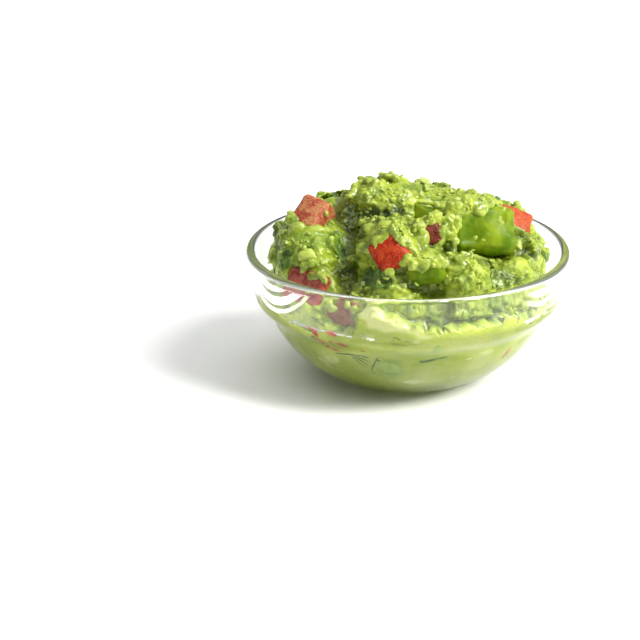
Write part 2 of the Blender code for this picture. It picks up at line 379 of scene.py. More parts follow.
glass = bpy.data.materials.new("bowl_glass")
glass.use_nodes = True
tree = glass.node_tree
shader = tree.nodes["Principled BSDF"]
ray = put(tree, "ShaderNodeLightPath").outputs
shader.inputs["Base Color"].default_value = (0.955, 0.975, 0.955, 1)
shader.inputs["Roughness"].default_value = 0.0
shader.inputs["IOR"].default_value = 1.5
shader.inputs["Transmission Weight"].default_value = 1.0
clear = put(tree, "ShaderNodeBsdfTransparent", {"Color": (0.93, 0.95, 0.93, 1)})
# Past five bounces the glass glows pale green instead: painted light that stands in for the light a real wall carries
# along inside itself, so long paths in the lip don't end black.
painted_glow = put(tree, "ShaderNodeEmission", {"Color": (0.80, 0.88, 0.74, 1), "Strength": 0.42})
long_way = maths(tree, "GREATER_THAN", ray["Ray Depth"], 5.5)
whole = put(tree, "ShaderNodeMixShader", {0: long_way, 1: shader.outputs[0], 2: painted_glow.outputs[0]})
passing = put(tree, "ShaderNodeMixShader", {0: ray["Is Shadow Ray"], 1: whole.outputs[0], 2: clear.outputs[0]})
tree.links.new(passing.outputs[0], tree.nodes["Material Output"].inputs["Surface"])

bowl = new_object("bowl", lathe("bowl", PROFILE), glass)
bm = bmesh.new()
bm.from_mesh(bowl.data)
bmesh.ops.recalc_face_normals(bm, faces=bm.faces)
bm.to_mesh(bowl.data)
bm.free()
shade_smooth(bowl.data)
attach(bowl, "root")
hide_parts("glass_bowl")
print("bowl triangles", triangles(bowl.data))

# %% [markdown]
# ## The mash: how to make thousands of curds one surface
# Mashed avocado is soft, so a lump has no edge of its own: it melts into its neighbours, with small
# granules on its back and dark wet folds between. Three steps give that. Geometry Nodes scatter lumps
# of several sizes over the heap of the model. A voxel remesh fuses them into one skin. A second tree
# then raises fine grain in patches, and leaves other patches smooth, as a spoon does.


# %% A tree that scatters lumps on a surface
LUMP_KINDS = 5


def curd_tree():
    tree = bpy.data.node_groups.new("scatter curds", "GeometryNodeTree")
    face = tree.interface
    face.new_socket("Geometry", in_out="INPUT", socket_type="NodeSocketGeometry")
    for name, kind in (("Pieces", "Object"), ("Material", "Material"), ("Seed", "Int"), ("Spacing", "Float"),
                       ("Smallest", "Float"), ("Largest", "Float"), ("Clearance", "Float"),
                       ("Lowest", "Float"), ("Patch size", "Float"), ("Patch cover", "Float"),
                       ("Flatness", "Float"), ("Fineness", "Int"), ("Only lumps", "Bool")):
        face.new_socket(name, in_out="INPUT", socket_type=f"NodeSocket{kind}")
    face.new_socket("Geometry", in_out="OUTPUT", socket_type="NodeSocketGeometry")
    given = put(tree, "NodeGroupInput").outputs
    place = put(tree, "GeometryNodeInputPosition").outputs[0]
    height = put(tree, "ShaderNodeSeparateXYZ", {0: place}).outputs["Z"]
    density = maths(tree, "DIVIDE", 1.6, maths(tree, "MULTIPLY", given["Spacing"], given["Spacing"]))
    points = put(tree, "GeometryNodeDistributePointsOnFaces",
                 {"Mesh": given["Geometry"], "Distance Min": given["Spacing"], "Density Max": density,
                  "Seed": given["Seed"],
                  "Selection": put(tree, "FunctionNodeCompare", {0: height, 1: given["Lowest"]},
                                   operation="GREATER_THAN").outputs[0]},
                 distribute_method="POISSON")
    dice = put(tree, "GeometryNodeObjectInfo", {"Object": given["Pieces"]})
    near = put(tree, "GeometryNodeProximity", {0: dice.outputs["Geometry"]}).outputs["Distance"]
    patch = put(tree, "ShaderNodeTexNoise",
                {"Scale": maths(tree, "DIVIDE", 1.0, given["Patch size"]), "Detail": 1.0,
                 "W": maths(tree, "MULTIPLY", given["Seed"], 3.7)}, noise_dimensions="4D").outputs[0]
    too_near = put(tree, "FunctionNodeCompare", {0: near, 1: given["Clearance"]}, operation="LESS_THAN").outputs[0]
    bare = put(tree, "FunctionNodeCompare", {0: patch, 1: given["Patch cover"]}, operation="GREATER_THAN").outputs[0]
    out = put(tree, "FunctionNodeBooleanMath", {0: too_near, 1: bare}, operation="OR").outputs[0]
    kept = put(tree, "GeometryNodeDeleteGeometry", {"Geometry": points.outputs["Points"], "Selection": out},
               domain="POINT").outputs[0]
    joined = put(tree, "GeometryNodeJoinGeometry")
    for kind in range(LUMP_KINDS):
        ball = put(tree, "GeometryNodeMeshIcoSphere", {"Radius": 0.5, "Subdivisions": given["Fineness"]}).outputs[0]
        wobble = put(tree, "ShaderNodeTexNoise", {"Scale": 1.7, "Detail": 2.0, "W": 11.0 * kind},
                     noise_dimensions="4D").outputs["Color"]
        offset = scaled(tree, vector_maths(tree, "SUBTRACT", wobble, (0.5, 0.5, 0.5)), 1.3)
        lump = put(tree, "GeometryNodeSetPosition", {"Geometry": ball, "Offset": offset}).outputs[0]
        one = put(tree, "GeometryNodeGeometryToInstance", {0: lump}).outputs[0]
        tree.links.new(one, joined.inputs[0])
    size_roll = put(tree, "FunctionNodeRandomValue", {"Min": 0.0, "Max": 1.0, "Seed": given["Seed"]},
                    data_type="FLOAT")
    roll = next(s for s in size_roll.outputs if s.identifier == "Value_001")
    size = maths(tree, "ADD", given["Smallest"], maths(tree, "MULTIPLY", maths(tree, "POWER", roll, 1.6),
                 maths(tree, "SUBTRACT", given["Largest"], given["Smallest"])))
    stretch_node = put(tree, "FunctionNodeRandomValue", {0: (0.7, 0.75, 0.6), 1: (1.15, 1.55, 1.0),
                       "Seed": maths(tree, "ADD", given["Seed"], 5)}, data_type="FLOAT_VECTOR")
    stretch = stretch_node.outputs[0]
    flat = put(tree, "ShaderNodeCombineXYZ", {0: 1.0, 1: 1.0, 2: given["Flatness"]}).outputs[0]
    scale = scaled(tree, vector_maths(tree, "MULTIPLY", stretch, flat), size)
    turn_node = put(tree, "FunctionNodeRandomValue", {0: (-0.5, -0.5, -math.pi), 1: (0.5, 0.5, math.pi),
                    "Seed": maths(tree, "ADD", given["Seed"], 9)}, data_type="FLOAT_VECTOR")
    turn = put(tree, "FunctionNodeRotateRotation",
               {"Rotation": points.outputs["Rotation"],
                "Rotate By": put(tree, "FunctionNodeEulerToRotation", {0: turn_node.outputs[0]}).outputs[0]},
               rotation_space="LOCAL").outputs[0]
    curds = put(tree, "GeometryNodeInstanceOnPoints",
                {"Points": kept, "Instance": joined.outputs[0], "Pick Instance": True, "Rotation": turn,
                 "Scale": scale})
    real = put(tree, "GeometryNodeRealizeInstances", {0: curds.outputs[0]})
    painted = put(tree, "GeometryNodeSetMaterial", {"Geometry": real.outputs[0], "Material": given["Material"]})
    both = put(tree, "GeometryNodeJoinGeometry")
    tree.links.new(painted.outputs[0], both.inputs[0])
    base = put(tree, "GeometryNodeSwitch", {"Switch": given["Only lumps"], "False": given["Geometry"]}).outputs[0]
    tree.links.new(base, both.inputs[0])
    put(tree, "NodeGroupOutput", {0: both.outputs[0]})
    return tree


# %% A tree that raises grain in patches
def grain_tree():
    tree = bpy.data.node_groups.new("raise grain", "GeometryNodeTree")
    face = tree.interface
    face.new_socket("Geometry", in_out="INPUT", socket_type="NodeSocketGeometry")
    for name in ("Curd size", "Curd height", "Grain size", "Grain height", "Patch size", "Lowest", "Swell"):
        face.new_socket(name, in_out="INPUT", socket_type="NodeSocketFloat")
    face.new_socket("Smooth pieces", in_out="INPUT", socket_type="NodeSocketObject")
    face.new_socket("Material", in_out="INPUT", socket_type="NodeSocketMaterial")
    face.new_socket("Geometry", in_out="OUTPUT", socket_type="NodeSocketGeometry")
    given = put(tree, "NodeGroupInput").outputs
    place = put(tree, "GeometryNodeInputPosition").outputs[0]
    height = put(tree, "ShaderNodeSeparateXYZ", {0: place}).outputs["Z"]
    warp = put(tree, "ShaderNodeTexNoise", {"Vector": place, "Scale": maths(tree, "DIVIDE", 0.6, given["Curd size"]),
                                            "Detail": 1.0}).outputs["Color"]
    warped = vector_maths(tree, "ADD", place, scaled(tree, warp, maths(tree, "MULTIPLY", given["Curd size"], 0.9)))

    def cells(size):
        node = put(tree, "ShaderNodeTexVoronoi", {"Vector": warped, "Scale": maths(tree, "DIVIDE", 1.0, size),
                   "Smoothness": 0.25, "Randomness": 1.0}, feature="SMOOTH_F1")
        far = node.outputs["Distance"]
        return maths(tree, "SUBTRACT", 0.45, maths(tree, "POWER", far, 1.5))

    patch = put(tree, "ShaderNodeTexNoise", {"Vector": place, "Scale": maths(tree, "DIVIDE", 1.0, given["Patch size"]),
                                             "Detail": 1.0}).outputs[0]
    rough_patch = remap(tree, patch, 0.38, 0.58)
    grain_patch = remap(tree, patch, 0.62, 0.44)
    curds = maths(tree, "MULTIPLY", cells(given["Curd size"]), maths(tree, "MULTIPLY", given["Curd height"], rough_patch))
    grain = maths(tree, "MULTIPLY", cells(given["Grain size"]), maths(tree, "MULTIPLY", given["Grain height"],
                  maths(tree, "ADD", 0.25, grain_patch)))
    free = remap(tree, height, given["Lowest"], maths(tree, "ADD", given["Lowest"], 0.003))
    bare = put(tree, "GeometryNodeObjectInfo", {"Object": given["Smooth pieces"]})
    far = put(tree, "GeometryNodeProximity", {0: bare.outputs["Geometry"]})
    far = put(tree, "GeometryNodeSwitch", {"Switch": far.outputs["Is Valid"], "False": 1.0, "True": far.outputs["Distance"]},
              input_type="FLOAT").outputs[0]
    free = maths(tree, "MULTIPLY", free, remap(tree, far, 0.0004, 0.002, 0.2, 1.0))
    rise = maths(tree, "ADD", given["Swell"], maths(tree, "MULTIPLY", maths(tree, "ADD", curds, grain), free))
    normal = put(tree, "GeometryNodeInputNormal").outputs[0]
    moved = put(tree, "GeometryNodeSetPosition", {"Geometry": given["Geometry"], "Offset": scaled(tree, normal, rise)})
    real = put(tree, "GeometryNodeRealizeInstances", {0: moved.outputs[0]})
    painted = put(tree, "GeometryNodeSetMaterial", {"Geometry": real.outputs[0], "Material": given["Material"]})
    put(tree, "NodeGroupOutput", {0: painted.outputs[0]})
    return tree


CURDS, GRAIN = curd_tree(), grain_tree()
print("trees", CURDS.name, GRAIN.name)


# %% [markdown]
# ## Wet food: one effect, three foods
# Mash, tomato and avocado flesh all have the same wet skin: fine pulp that makes the gloss break up
# into small glints. It is a node group, so each material places it once and sets its own sizes.


# %% The wet pulp group
def pulp_group():
    group = bpy.data.node_groups.new("wet pulp", "ShaderNodeTree")
    for name, start in (("Grain size", 0.0012), ("Lump size", 0.004), ("Roughness low", 0.2),
                        ("Roughness high", 0.5)):
        group.interface.new_socket(name, in_out="INPUT", socket_type="NodeSocketFloat").default_value = start
    for name in ("Roughness", "Height", "Mottle", "Grain"):
        group.interface.new_socket(name, in_out="OUTPUT", socket_type="NodeSocketFloat")
    given = put(group, "NodeGroupInput").outputs
    place = put(group, "ShaderNodeTexCoord").outputs["Object"]
    grain_scale = maths(group, "DIVIDE", 1.0, given["Grain size"])
    lump_scale = maths(group, "DIVIDE", 1.0, given["Lump size"])
    mottle = put(group, "ShaderNodeTexNoise", {"Vector": place, "Scale": lump_scale, "Detail": 3.0,
                                               "Roughness": 0.55, "Distortion": 0.4}).outputs[0]
    pulp = put(group, "ShaderNodeTexNoise", {"Vector": place, "Scale": grain_scale, "Detail": 3.0,
                                             "Roughness": 0.6}).outputs[0]
    cells = put(group, "ShaderNodeTexVoronoi", {"Vector": place, "Scale": grain_scale, "Smoothness": 0.4},
                feature="SMOOTH_F1").outputs["Distance"]
    bead = maths(group, "SUBTRACT", 0.6, cells)
    height = maths(group, "ADD", maths(group, "MULTIPLY", pulp, 0.6), maths(group, "MULTIPLY", bead, 0.7))
    blend = put(group, "ShaderNodeMapRange", {0: maths(group, "MULTIPLY", mottle, maths(group, "ADD", pulp, 0.5)),
                                              1: 0.3, 2: 0.7, 3: given["Roughness low"], 4: given["Roughness high"]})
    put(group, "NodeGroupOutput", {"Roughness": blend.outputs[0], "Height": height, "Mottle": mottle, "Grain": bead})
    return group


PULP = pulp_group()


def wet_material(name, grain, lump, rough, bump, bump_distance, sss, sss_radius, coat=0.0):
    """A material with the pulp group placed and its gloss wired. Returns material, tree, shader, group."""
    material = bpy.data.materials.new(name)
    material.use_nodes = True
    tree = material.node_tree
    shader = tree.nodes["Principled BSDF"]
    pulp = put(tree, "ShaderNodeGroup", node_tree=PULP)
    pulp.inputs["Grain size"].default_value = grain * MM
    pulp.inputs["Lump size"].default_value = lump * MM
    pulp.inputs["Roughness low"].default_value, pulp.inputs["Roughness high"].default_value = rough
    tree.links.new(pulp.outputs["Roughness"], shader.inputs["Roughness"])
    relief = put(tree, "ShaderNodeBump", {"Height": pulp.outputs["Height"], "Strength": bump,
                                          "Distance": bump_distance * MM})
    tree.links.new(relief.outputs[0], shader.inputs["Normal"])
    shader.inputs["IOR"].default_value = 1.42
    shader.inputs["Subsurface Weight"].default_value = sss
    shader.inputs["Subsurface Radius"].default_value = sss_radius
    shader.inputs["Subsurface Scale"].default_value = 0.001
    shader.inputs["Coat Weight"].default_value = coat
    shader.inputs["Coat Roughness"].default_value = 0.12
    return material, tree, shader, pulp


def attribute(tree, name):
    return put(tree, "ShaderNodeAttribute", attribute_name=name).outputs["Fac"]


# %% The mash's own material
mash_paint, tree, shader, pulp = wet_material("mashed_avocado", 1.1, 5.5, (0.14, 0.42), 0.4, 0.35, 0.36,
                                              (0.9, 1.0, 0.2), coat=0.16)
shader.inputs["Specular IOR Level"].default_value = 0.42
pale, deep = (0.39, 0.475, 0.036), (0.135, 0.215, 0.006)
spread = remap(tree, pulp.outputs["Mottle"], 0.32, 0.68)
flesh = mix_colour(tree, spread, deep, pale)
flesh = mix_colour(tree, maths(tree, "MULTIPLY", remap(tree, pulp.outputs["Grain"], 0.1, 0.5), 0.35), flesh,
                   (0.55, 0.62, 0.11))
# Painted shade: the hollows and the lines of the folds are painted dark olive, as if in shadow.
flesh = mix_colour(tree, attribute(tree, "fold"), flesh, (0.055, 0.095, 0.004))
# Painted light: the crests are painted paler, as if lit.
flesh = mix_colour(tree, attribute(tree, "crest"), flesh, (0.52, 0.63, 0.14))
pressed_noise = put(tree, "ShaderNodeTexNoise", {"Vector": put(tree, "ShaderNodeMapping", {
    "Vector": put(tree, "ShaderNodeTexCoord").outputs["Object"], "Scale": (1.0, 1.0, 1.3)}).outputs[0],
    "Scale": 90.0, "Detail": 4.0, "Distortion": 0.5}).outputs[0]
smeared = mix_colour(tree, remap(tree, pressed_noise, 0.35, 0.65), (0.35, 0.44, 0.030), (0.46, 0.53, 0.065))
flesh = mix_colour(tree, attribute(tree, "pressed"), flesh, smeared)
flesh = mix_colour(tree, attribute(tree, "cream"), flesh, (0.62, 0.66, 0.24))
# Darker green patches are the mash's own tone; on the heap's upper left the same darker green is painted shade.
flesh = mix_colour(tree, attribute(tree, "green"), flesh, (0.19, 0.32, 0.008))
# Painted shade: shadowed blotches on the pressed mash and a darkening towards the bowl's bottom.
flesh = mix_colour(tree, attribute(tree, "dark"), flesh, (0.05, 0.09, 0.006))
tree.links.new(flesh, shader.inputs["Base Color"])

# %% [markdown]
# ## Masses, smooth lumps and folds
# The model gives the heap its rough form. A spoon leaves more: rounded masses with curds all over them,
# a few smooth lumps of firmer avocado, and deep folds where two spoonfuls meet. Masses and smooth lumps
# are squashed balls, fused with the rest by the remesh; folds are pushed in afterwards.


# %% Squashed balls, in millimetres
def ball(bm, middle, radii, turn=(0, 0, 0), wobble=0.18, seed=0):
    """Adds a ball with three radii, turned, with an uneven skin. Lengths are in millimetres."""
    place = Matrix.Translation(Vector(middle) * MM) @ Matrix.Rotation(math.radians(turn[2]), 4, "Z") @ Matrix.Rotation(
        math.radians(turn[1]), 4, "Y") @ Matrix.Rotation(math.radians(turn[0]), 4, "X") @ Matrix.Diagonal(
        (*[r * MM for r in radii], 1))
    made = bmesh.ops.create_icosphere(bm, subdivisions=4, radius=1.0)["verts"]
    drift = Vector((seed * 3.1, seed * 1.7, seed * 2.3))
    for vertex in made:
        uneven = 1 + wobble * (noise.noise(vertex.co * 1.3 + drift) + 0.5 * noise.noise(vertex.co * 3.1 + drift))
        vertex.co = place @ (vertex.co * uneven)


ROUGH_MASSES = [
    # middle, radii, turn
    ("summit, left half", (-13.5, -3, 68.4), (7.5, 7, 6), (0, -4, 0)),
    ("summit, left shoulder", (-21, 0, 63.6), (6.2, 7, 5.2), (0, -30, 0)),
    ("summit, right half", (-4, -5, 67.2), (6.5, 6.5, 5.5), (0, 10, 0)),
    ("ridge behind the big chunk", (18, 3, 63.5), (13, 6, 4.2), (0, -6, 8)),
    ("ridge, right end", (27, -2, 63), (6, 5, 4), (0, 12, 0)),
    ("ledge over the middle", (-2, -27, 64), (7, 4.5, 3.2), (12, 0, 5)),
    ("middle, right", (14, -36, 56), (8.5, 4.5, 4), (0, 4, 8)),
    ("front, right", (19.5, -38.5, 50.5), (9, 7, 7.5), (0, 0, 12)),
    ("right", (37, -28, 50.5), (8, 6.5, 5), (0, 8, 40)),
    ("right, upper", (43, -15, 54), (5.5, 6, 5), (0, 10, 60)),
    ("left flank strip of the big chunk", (13.5, -24, 63), (2.6, 2.6, 7), (-38, 10, 0)),
    ("left, upper", (-37, -17, 56.5), (7, 6, 4.5), (0, -15, 0)),
    ("left, lower", (-41, -26, 51), (6, 5, 4.5), (0, -15, 20)),
    ("front ridge", (-3, -45, 46.5), (9, 3.2, 3), (0, 0, 3)),
]
SMOOTH_LUMPS = [
    ("behind the summit", (3.5, 9, 66.5), (4.6, 4, 3.6), (0, 10, 0)),
    ("smear over the big chunk", (16, -8, 66.5), (9, 4.5, 2.2), (-12, 4, -18)),
    ("middle ledge, left", (-13.5, -24, 62.5), (3.2, 2.8, 3), (0, 20, 0)),
    ("middle ledge, front", (-8, -27.5, 65.4), (3.4, 2.8, 2.7), (0, -15, 0)),
    ("pointed lump under the dark die", (5, -34.5, 62), (3, 3.2, 4.8), (-20, 14, 0)),
    ("below the pointed lump", (8, -37, 58.5), (4.6, 3.4, 2.8), (0, 10, 0)),
    ("left of the red die, upper", (-15, -34, 58.5), (3.6, 2.8, 3.2), (0, 15, 0)),
    ("left of the red die, lower", (-20.5, -31.5, 54.5), (2.8, 2.4, 2.6), (0, 0, 0)),
    ("under the first die, left", (-40.5, -16, 60.5), (3.6, 2.4, 2.5), (0, -30, 0)),
    ("under the first die, right", (-33, -17.5, 60.6), (3.8, 2.4, 1.9), (0, 8, 0)),
    ("left face, middle", (-32, -24.5, 57.6), (3.2, 2.6, 2.6), (0, 25, 0)),
    ("left face, right", (-27, -24, 57.5), (2.6, 2.6, 3.6), (0, -25, 0)),
    ("small, by the front fold", (-19.5, -39, 47.3), (2.2, 1.9, 1.8), (0, 0, 0)),
    ("small, beside it", (-16.6, -40.5, 46.6), (1.9, 1.7, 1.7), (0, 0, 0)),
    ("small, above it", (-17.3, -38.2, 49.3), (1.7, 1.6, 1.5), (0, 0, 0)),
    ("right, by the wall", (46, -17, 49.5), (3, 3, 4), (0, 12, 0)),
    ("tongue up the wall", (-47.5, -21, 34), (5, 5, 4.5), (0, 0, 0)),
    ("cream smear, upper left", (-13.5, -49.8, 40.3), (4.2, 4.2, 3.2), (0, 0, 0), 0.5),
    ("cream smear, top", (-9.9, -50.8, 41.2), (4.4, 4.4, 3.0), (0, 20, 0), 0.5),
    ("cream smear, middle", (-6.3, -51.3, 38.4), (5.0, 4.6, 3.6), (0, -10, 0), 0.4),
    ("cream smear, right", (-1.2, -51.8, 37.2), (4.6, 4.2, 2.8), (0, 12, 0), 0.5),
    ("cream smear, right end", (4.2, -51.6, 35.9), (4.6, 4.0, 2.2), (0, 16, 0), 0.5),
    ("bump by the wall", (34, -39.5, 33.5), (4.2, 4, 4.2), (0, 0, 0)),
    ("foot of the front mass, left", (8.8, -49.2, 33.2), (4.2, 3.6, 3.2), (0, 0, 0), 0.3),
    ("foot of the front mass", (15, -47.6, 33.8), (4, 3.8, 3.0), (0, 0, 17), 0.4),
    ("foot of the front mass, right", (20.8, -45.4, 33.4), (4.2, 3.8, 3.3), (0, 0, 24), 0.3),
    ("foot of the right mass", (26.4, -42.8, 33.9), (4, 3.8, 3.0), (0, 0, 31), 0.4),
    ("beside the bump", (30.8, -40.2, 32.8), (3.6, 3.6, 3.2), (0, 0, 37), 0.3),
    ("left of the cream smear", (-17.5, -47, 32.2), (4.2, 3.8, 3.0), (0, 0, -20), 0.3),
]
KEPT_CLEAR = [
    ("before the fourth die", (39.5, -14, 63.5), (5, 5, 4.5), (0, 0, 0)),
    ("behind the first die", (-28, 8, 66), (7.5, 8, 4), (0, 0, 0)),
    ("behind the first die, far", (-31, 22, 64), (7, 7, 4), (0, 0, 0)),
    ("dip in the ridge", (10, 28, 64.5), (6, 6, 4), (0, 0, 0)),
]
FOLDS = [
    # points along it, half width, depth
    ("great fold", [(-21.5, -11, 64), (-20.5, -15, 60.5), (-22.5, -25, 55.5), (-22, -32, 51), (-20, -38, 46)], 4.2, 4.0),
    ("by the dark die", [(5, -27, 63), (8, -32, 60)], 3.2, 3.0),
    ("under the big chunk", [(15, -33, 58.5), (25, -35.5, 56), (34, -28, 55.5)], 3.4, 3.2),
    ("left of the front mass", [(11, -38.5, 56.5), (9, -43, 50), (8, -44, 46)], 3.0, 3.6),
    ("front hollow", [(4, -44, 48), (9, -44, 47)], 3.6, 4.0),
    ("right of the front mass", [(29.5, -34.5, 55), (31.5, -37, 48)], 2.8, 3.4),
    ("between the right masses", [(38, -24.5, 56), (46, -17.5, 52.5)], 2.4, 2.6),
    ("left, by the leaf", [(-43, -26, 53), (-40, -30, 50)], 2.6, 2.4),
    ("before the fourth die", [(37, -18, 64), (42, -13, 60)], 3.6, 3.0),
    ("dip in the ridge", [(9, 4, 70), (13, 8, 70)], 3.4, 2.6),
    ("below the summit", [(-17, -13, 66), (-8, -17.5, 67), (0, -14, 67.5)], 3.0, 2.0),
]


# %% How each die sits in the mash
# The face that shows: its middle, the way it looks (angle round Z from +X, angle up), roll and size.
# Then the collar of mash round it: growth sideways and how far it stays behind the face. Last, how much
# mash creeps over the face's left, upper, right and lower edge, from none (0) to all along (1).
SEATS = {
    "tomato_1": ((-36, -9.5, 65), (-112, 42), -14, (12, 12, 12), (1.4, 4.2), (0.0, 0.1, 0.5, 1.0)),
    "tomato_2": ((-6.5, -42.5, 61), (-102, 18), 40, (11.5, 11.5, 11), (3.2, 1.6), (0.1, 0.75, 0.7, 0.5)),
    "tomato_3": ((-37, -36, 45.5), (-130, 20), -4, (17, 10, 11), (2.5, 2.5), (0.4, 0.7, 0.4, 0.2)),
    "tomato_4": ((39, -8.5, 62), (-62, 40), -32, (13, 11, 10), (1.6, 4.6), (0.1, 0.55, 0.0, 0.25)),
    "tomato_5": ((7.5, -33, 64.5), (-88, 20), 20, (9, 8, 8), (3.0, 0.8), (0.7, 0.9, 0.6, 0.9)),
    "tomato_6": ((-22.5, -45, 38), (-116, -8), 12, (11, 8, 7.5), (2.4, 1.8), (0.6, 0.4, 0.7, 0.6)),
    "tomato_8": ((-19, 42, 50), (115, 28), 20, (13, 11, 11), (3.0, 2.4), (0.5, 0.5, 0.5, 0.5)),
    "tomato_9": ((24, 40, 48), (60, 30), 40, (12, 11, 11), (3.0, 2.4), (0.5, 0.6, 0.4, 0.5)),
    "tomato_10": ((-45.5, 17, 48), (158, 25), 15, (12, 11, 10), (2.4, 2.8), (0.4, 0.5, 0.5, 0.6)),
    "tomato_11": ((39.5, 28.5, 48), (36, 25), 45, (11, 12, 11), (3.0, 2.4), (0.6, 0.4, 0.5, 0.5)),
    "avocado_1": ((27.5, -27.5, 65.5), (-76, 26), -6, (25, 17, 14), (1.6, 4.4), (0.7, 0.9, 0.5, 0.1)),
    "avocado_2": ((7.5, -46.5, 54.5), (-84, 12), 5, (11, 8, 8), (2.6, 2.6), (0.5, 0.9, 0.4, 0.3)),
    "avocado_3": ((5, -21.5, 69), (-80, 40), -15, (11, 9, 8), (1.2, 2.4), (0.7, 0.8, 0.5, 0.6)),
    "avocado_4": ((-37.5, -31, 55), (-132, 26), 20, (8, 6.5, 6), (2.2, 1.8), (0.6, 0.6, 0.6, 0.6)),
    "avocado_5": ((0, 36, 58), (90, 32), 8, (20, 14, 12), (1.0, 4.6), (0.7, 0.3, 0.7, 0.3)),
    "avocado_6": ((-32.5, 28.5, 55.5), (137, 42), 50, (13, 11, 9), (1.2, 2.6), (0.6, 0.6, 0.4, 0.6)),
}


# One chunk at the back stands this much lower than its CAD solid, or it would show over the left shoulder.
SUNK = {"avocado_6": Vector((-1.5, 2.0, -4.5))}


def seat_place(name):
    middle, (azimuth, elevation), roll = SEATS[name][:3]
    looks = Vector((1, 0, 0))
    looks.rotate(Euler((0, math.radians(-elevation), math.radians(azimuth))))
    turn = looks.to_track_quat("Z", "Y") @ Quaternion((0, 0, 1), math.radians(roll))
    return Matrix.Translation(Vector(middle) * MM) @ turn.to_matrix().to_4x4()


def collars():
    """Rounded blocks of mash a little wider than each die and a little behind its face."""
    bm = bmesh.new()
    for name, (_, _, _, (w, h, d), (grow, recess), _) in SEATS.items():
        place = seat_place(name)
        half = Vector(((w / 2 + grow) * MM, (h / 2 + grow) * MM, d / 2 * MM))
        for vertex in bmesh.ops.create_icosphere(bm, subdivisions=3, radius=1.0)["verts"]:
            full = Vector([math.copysign(abs(c) ** 0.62, c) for c in vertex.co])
            shy = 0.9 * grow if name == "avocado_1" else 0.0
            spot = Vector([a * b for a, b in zip(full, half)]) - Vector((shy * MM, 0, (d / 2 + recess) * MM))
            vertex.co = place @ spot
    mesh = bpy.data.meshes.new("collars")
    bm.to_mesh(mesh)
    bm.free()
    return mesh


def dabs():
    """Small smears that creep over the edges of the faces. They stay smooth, like wet mash."""
    chance = random.Random(41)
    bm = bmesh.new()
    for name, (_, _, _, (w, h, d), _, cover) in SEATS.items():
        place = seat_place(name)
        big = 1.5 if name in ("avocado_1", "avocado_5") else 1.0
        for side_number, share in enumerate(cover):
            along_x = side_number in (1, 3)
            length = w if along_x else h
            for k in range(int(length / 2.1)):
                if chance.random() > share:
                    continue
                if name == "avocado_1" and side_number == 1 and k > 0.6 * int(length / 2.1):
                    continue
                t = (k + 0.5) / int(length / 2.1) * length - length / 2 + chance.uniform(-0.8, 0.8)
                size = chance.uniform(1.0, 2.1) * big * (0.75 + 0.5 * share)
                if name == "avocado_1" and side_number == 2:
                    size *= 0.5
                edge = (h if along_x else w) / 2 + chance.uniform(-0.5, 0.4) * size
                x, y = (t, edge) if along_x else (edge, t)
                if side_number in (0, 3):
                    x, y = (x, -y) if along_x else (-x, y)
                local = Matrix.Translation(Vector((x, y, -0.35)) * MM) @ Matrix.Rotation(
                    chance.uniform(0, 3.1), 4, "Z") @ Matrix.Diagonal((size * MM, size * chance.uniform(0.7, 1.5) * MM,
                                                                       size * chance.uniform(0.55, 0.8) * MM, 1))
                drift = Vector((k * 2.1, side_number * 5.3, len(name)))
                for vertex in bmesh.ops.create_icosphere(bm, subdivisions=3, radius=1.0)["verts"]:
                    vertex.co = place @ local @ (vertex.co * (1 + 0.26 * noise.noise(vertex.co * 1.4 + drift)))
    mesh = bpy.data.meshes.new("dabs")
    bm.to_mesh(mesh)
    bm.free()
    return mesh


def joined_balls(name, *lists):
    bm = bmesh.new()
    for k, row in enumerate([row for rows in lists for row in rows]):
        ball(bm, *row[1:], seed=k + 1)
    mesh = bpy.data.meshes.new(name)
    bm.to_mesh(mesh)
    bm.free()
    return mesh


smooth_helper = new_object("smooth_helper", joined_balls("smooth lumps", SMOOTH_LUMPS))
print("masses", len(ROUGH_MASSES), "smooth lumps", len(SMOOTH_LUMPS), "folds", len(FOLDS))

# %% [markdown]
# ## The pieces the curds must leave bare
# A die of tomato shows a clean cut face because mash doesn't stick to it, and the smooth lumps stay
# smooth. One helper object joins them all, and the scattering trees keep their lumps a stated distance
# away from it.

# %% A joined helper of everything bare
DICE = [n for n in NODES if n.startswith(("tomato_", "avocado_"))]
bm = merged_copy(*DICE)
dice_mesh = bpy.data.meshes.new("dice helper")
bm.from_mesh(smooth_helper.data)
bm.from_mesh(joined_balls("kept clear", KEPT_CLEAR))
bm.to_mesh(dice_mesh)
bm.free()
bare_helper = new_object("bare_helper", dice_mesh)
print("dice", len(DICE), "helper faces", len(dice_mesh.polygons))


# %% Where the mash meets the glass
# Azimuth from the front (degrees, to the right) and the height up to which mash wets the wall.
WETTED = [(-180, 33), (-150, 34), (-120, 33), (-95, 34), (-80, 34.5), (-72, 36.5), (-66, 37.9), (-57, 36.0), (-49, 32.8),
          (-40, 31.8), (-31, 32.4), (-21, 33.4), (-17, 40.5), (-11, 41.5), (-5, 39.0), (3, 38.0), (9, 36.2), (13, 36.0), (27, 36.0), (36, 35.8),
          (41, 38.0), (46, 35.4), (53, 31.5), (62, 34.0), (90, 34), (120, 33), (150, 34), (180, 33)]


def wall_shift(points):
    """For each point: how far inside the wall it is, the wall's outward direction there, its angle."""
    r = np.hypot(points[:, 0], points[:, 1]) / MM
    z = points[:, 2] / MM
    line = INNER[:60]
    step = np.diff(line, axis=0)
    best, inside, out = np.full(len(r), 1e9), np.zeros(len(r)), np.zeros((len(r), 2))
    for start, along in zip(line[:-1], step):
        length = np.hypot(*along)
        unit = along / length
        t = np.clip((r - start[0]) * unit[0] + (z - start[1]) * unit[1], 0, length)
        dr, dz = start[0] + unit[0] * t - r, start[1] + unit[1] * t - z
        far = np.hypot(dr, dz)
        near = far < best
        normal = np.array((unit[1], -unit[0]))
        best[near] = far[near]
        inside[near] = (dr * normal[0] + dz * normal[1])[near]
        out[near] = normal
    angle = np.degrees(np.arctan2(points[:, 0], -points[:, 1]))
    return inside, out, angle, r, z


